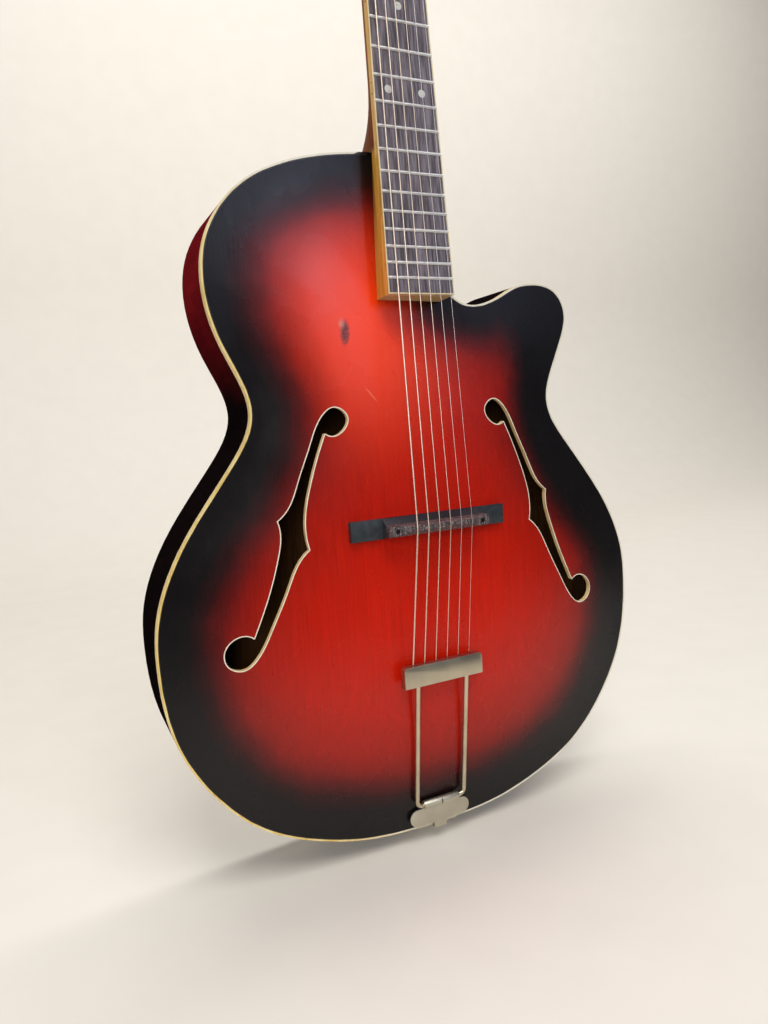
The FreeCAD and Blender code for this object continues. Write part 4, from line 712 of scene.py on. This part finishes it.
# String ends wound on the posts, climbing from where the string arrives to the hole
winding = {
    "gauges": (0.155, 0.215, 0.305, 0.405, 0.535, 0.66),  # radii in mm, first string to sixth
    "post": 3 * mm, "room": 0.15 * mm,
    "arrival": 6.07 * mm, "climb": 4.5 * mm, "mostTurns": 5,
    "pitch": 2.1,  # radii from wrap to wrap, so that wraps lie just clear of each other
    "sides": 10, "stepsPerTurn": 20, "crease": 50,
}
for number, gauge in enumerate(winding["gauges"], 1):
    radius = gauge * mm
    joint = joints["tuner_%d_post_turn" % number]
    tipward = -Vector(joint["axis"])
    inward = Vector((-math.copysign(1, joint["pos_m"][0]), 0, 0))
    wrap = winding["pitch"] * radius
    climb = winding["climb"] - wrap  # the first wrap lies clear of the arriving string
    turns = min(winding["mostTurns"], climb / wrap)
    bpy.ops.object.select_all(action="DESELECT")
    bpy.ops.mesh.primitive_circle_add(vertices=winding["sides"], radius=radius,
                                      rotation=(math.radians(90), 0, 0),
                                      location=(winding["post"] + winding["room"] + radius, 0, 0))
    coil = bpy.context.object
    coil.name = "stringCoil_%d" % number
    bpy.ops.object.transform_apply(location=True, rotation=True, scale=True)
    sweep = coil.modifiers.new("sweep", "SCREW")
    sweep.axis = "Z"
    sweep.angle = math.copysign(2 * math.pi * turns, inward.x)
    sweep.screw_offset = climb
    sweep.steps = sweep.render_steps = round(winding["stepsPerTurn"] * turns)
    bpy.ops.object.modifier_apply(modifier="sweep")
    bpy.ops.object.mode_set(mode="EDIT")
    bpy.ops.mesh.select_all(action="SELECT")
    bpy.ops.mesh.fill_holes(sides=0)
    bpy.ops.mesh.normals_make_consistent(inside=False)
    bpy.ops.object.mode_set(mode="OBJECT")
    bpy.ops.object.shade_smooth_by_angle(angle=math.radians(winding["crease"]))
    foot = Vector(joint["pos_m"]) + tipward * (winding["arrival"] + radius + wrap)
    stand = Matrix((inward, tipward.cross(inward), tipward)).transposed().to_4x4()
    coil.matrix_world = Matrix.Translation(foot) @ stand
    bpy.ops.object.transform_apply(location=True, rotation=True, scale=True)
    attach(coil, "post_%d" % number)
    settle(coil, stringWire, "string_metal")
print("string ends wound on", len(winding["gauges"]), "posts")

# Round-head screws with slots: one head modelled for each size, then set on every seat
screwHeads = {
    "wood_screws": {"radius": 2.4 * mm, "height": 1.2 * mm, "slot": 0.7 * mm, "depth": 0.7 * mm,
                    "along": joints["tuner_1_post_turn"]["axis"], "finish": hardwareNickel},
    "bracket_screws": {"radius": 3 * mm, "height": 1.6 * mm, "slot": 0.9 * mm, "depth": 0.9 * mm,
                       "along": (0, 0, 1), "finish": bracketNickel},
}
headShape = {"segments": 32, "rings": 16, "crease": 40, "firstTurn": 25, "nextTurn": 50}  # angles in degrees


def screwSeats(node, along):  # the head's outer end and direction for each screw of a node
    copyOf(node, "seats")
    bpy.ops.object.mode_set(mode="EDIT")
    bpy.ops.mesh.select_all(action="SELECT")
    bpy.ops.mesh.separate(type="LOOSE")
    bpy.ops.object.mode_set(mode="OBJECT")
    seats = []
    for part in list(bpy.context.selected_objects):
        points = [vertex.co for vertex in part.data.vertices]
        middle = sum(points, Vector()) / len(points)
        places = [along.dot(point - middle) for point in points]
        widths = [(point - middle - along * place).length for point, place in zip(points, places)]
        rim = places[widths.index(max(widths))]
        outward = 1 if rim - min(places) > max(places) - rim else -1
        seats.append((middle + along * max(places, key=lambda place: place * outward), along * outward))
        bpy.data.objects.remove(part)
    return sorted(seats, key=lambda seat: seat[0][:])


for node, head in screwHeads.items():
    bpy.ops.object.select_all(action="DESELECT")
    bpy.ops.mesh.primitive_uv_sphere_add(segments=headShape["segments"], ring_count=headShape["rings"],
                                         radius=head["radius"])
    model = bpy.context.object
    floorLevel = head["height"] - head["depth"]
    bpy.ops.object.mode_set(mode="EDIT")
    bpy.ops.mesh.select_all(action="SELECT")
    bpy.ops.transform.resize(value=(1, 1, head["height"] / head["radius"]))
    bpy.ops.mesh.bisect(plane_co=(0, 0, 0), plane_no=(0, 0, 1), use_fill=True, clear_inner=True)
    for side in (-1, 1):
        bpy.ops.mesh.select_all(action="SELECT")
        bpy.ops.mesh.bisect(plane_co=(0, side * head["slot"] / 2, 0), plane_no=(0, 1, 0))
    bpy.ops.mesh.select_mode(type="FACE")
    bpy.ops.mesh.select_all(action="DESELECT")
    bpy.ops.object.mode_set(mode="OBJECT")
    for face in model.data.polygons:
        face.select = abs(face.center.y) < head["slot"] / 2 and face.center.z > floorLevel
    bpy.ops.object.mode_set(mode="EDIT")
    bpy.ops.mesh.extrude_region()
    bpy.ops.transform.resize(value=(1, 1, 0), center_override=(0, 0, floorLevel))  # flat slot floor
    bpy.ops.object.mode_set(mode="OBJECT")
    bpy.ops.object.shade_smooth_by_angle(angle=math.radians(headShape["crease"]))
    copies = []
    for i, (top, outward) in enumerate(screwSeats(node, Vector(head["along"]))):
        piece = bpy.data.objects.new("head", model.data.copy())
        scene.collection.objects.link(piece)
        turnBy = math.radians(headShape["firstTurn"] + headShape["nextTurn"] * i)  # no two slots alike
        slotTurn = Matrix.Rotation(turnBy, 4, "Z")
        stand = outward.to_track_quat("Z", "X").to_matrix().to_4x4()
        piece.data.transform(Matrix.Translation(top - outward * head["height"]) @ stand @ slotTurn)
        copies.append(piece)
    bpy.data.objects.remove(model)
    alone(copies[0])
    for piece in copies:
        piece.select_set(True)
    bpy.ops.object.join()
    copies[0].name = node + "Slotted"
    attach(copies[0], "guitar_body")
    settle(copies[0], head["finish"], "nickel", node)
print("slotted screws set:", ", ".join(screwHeads))
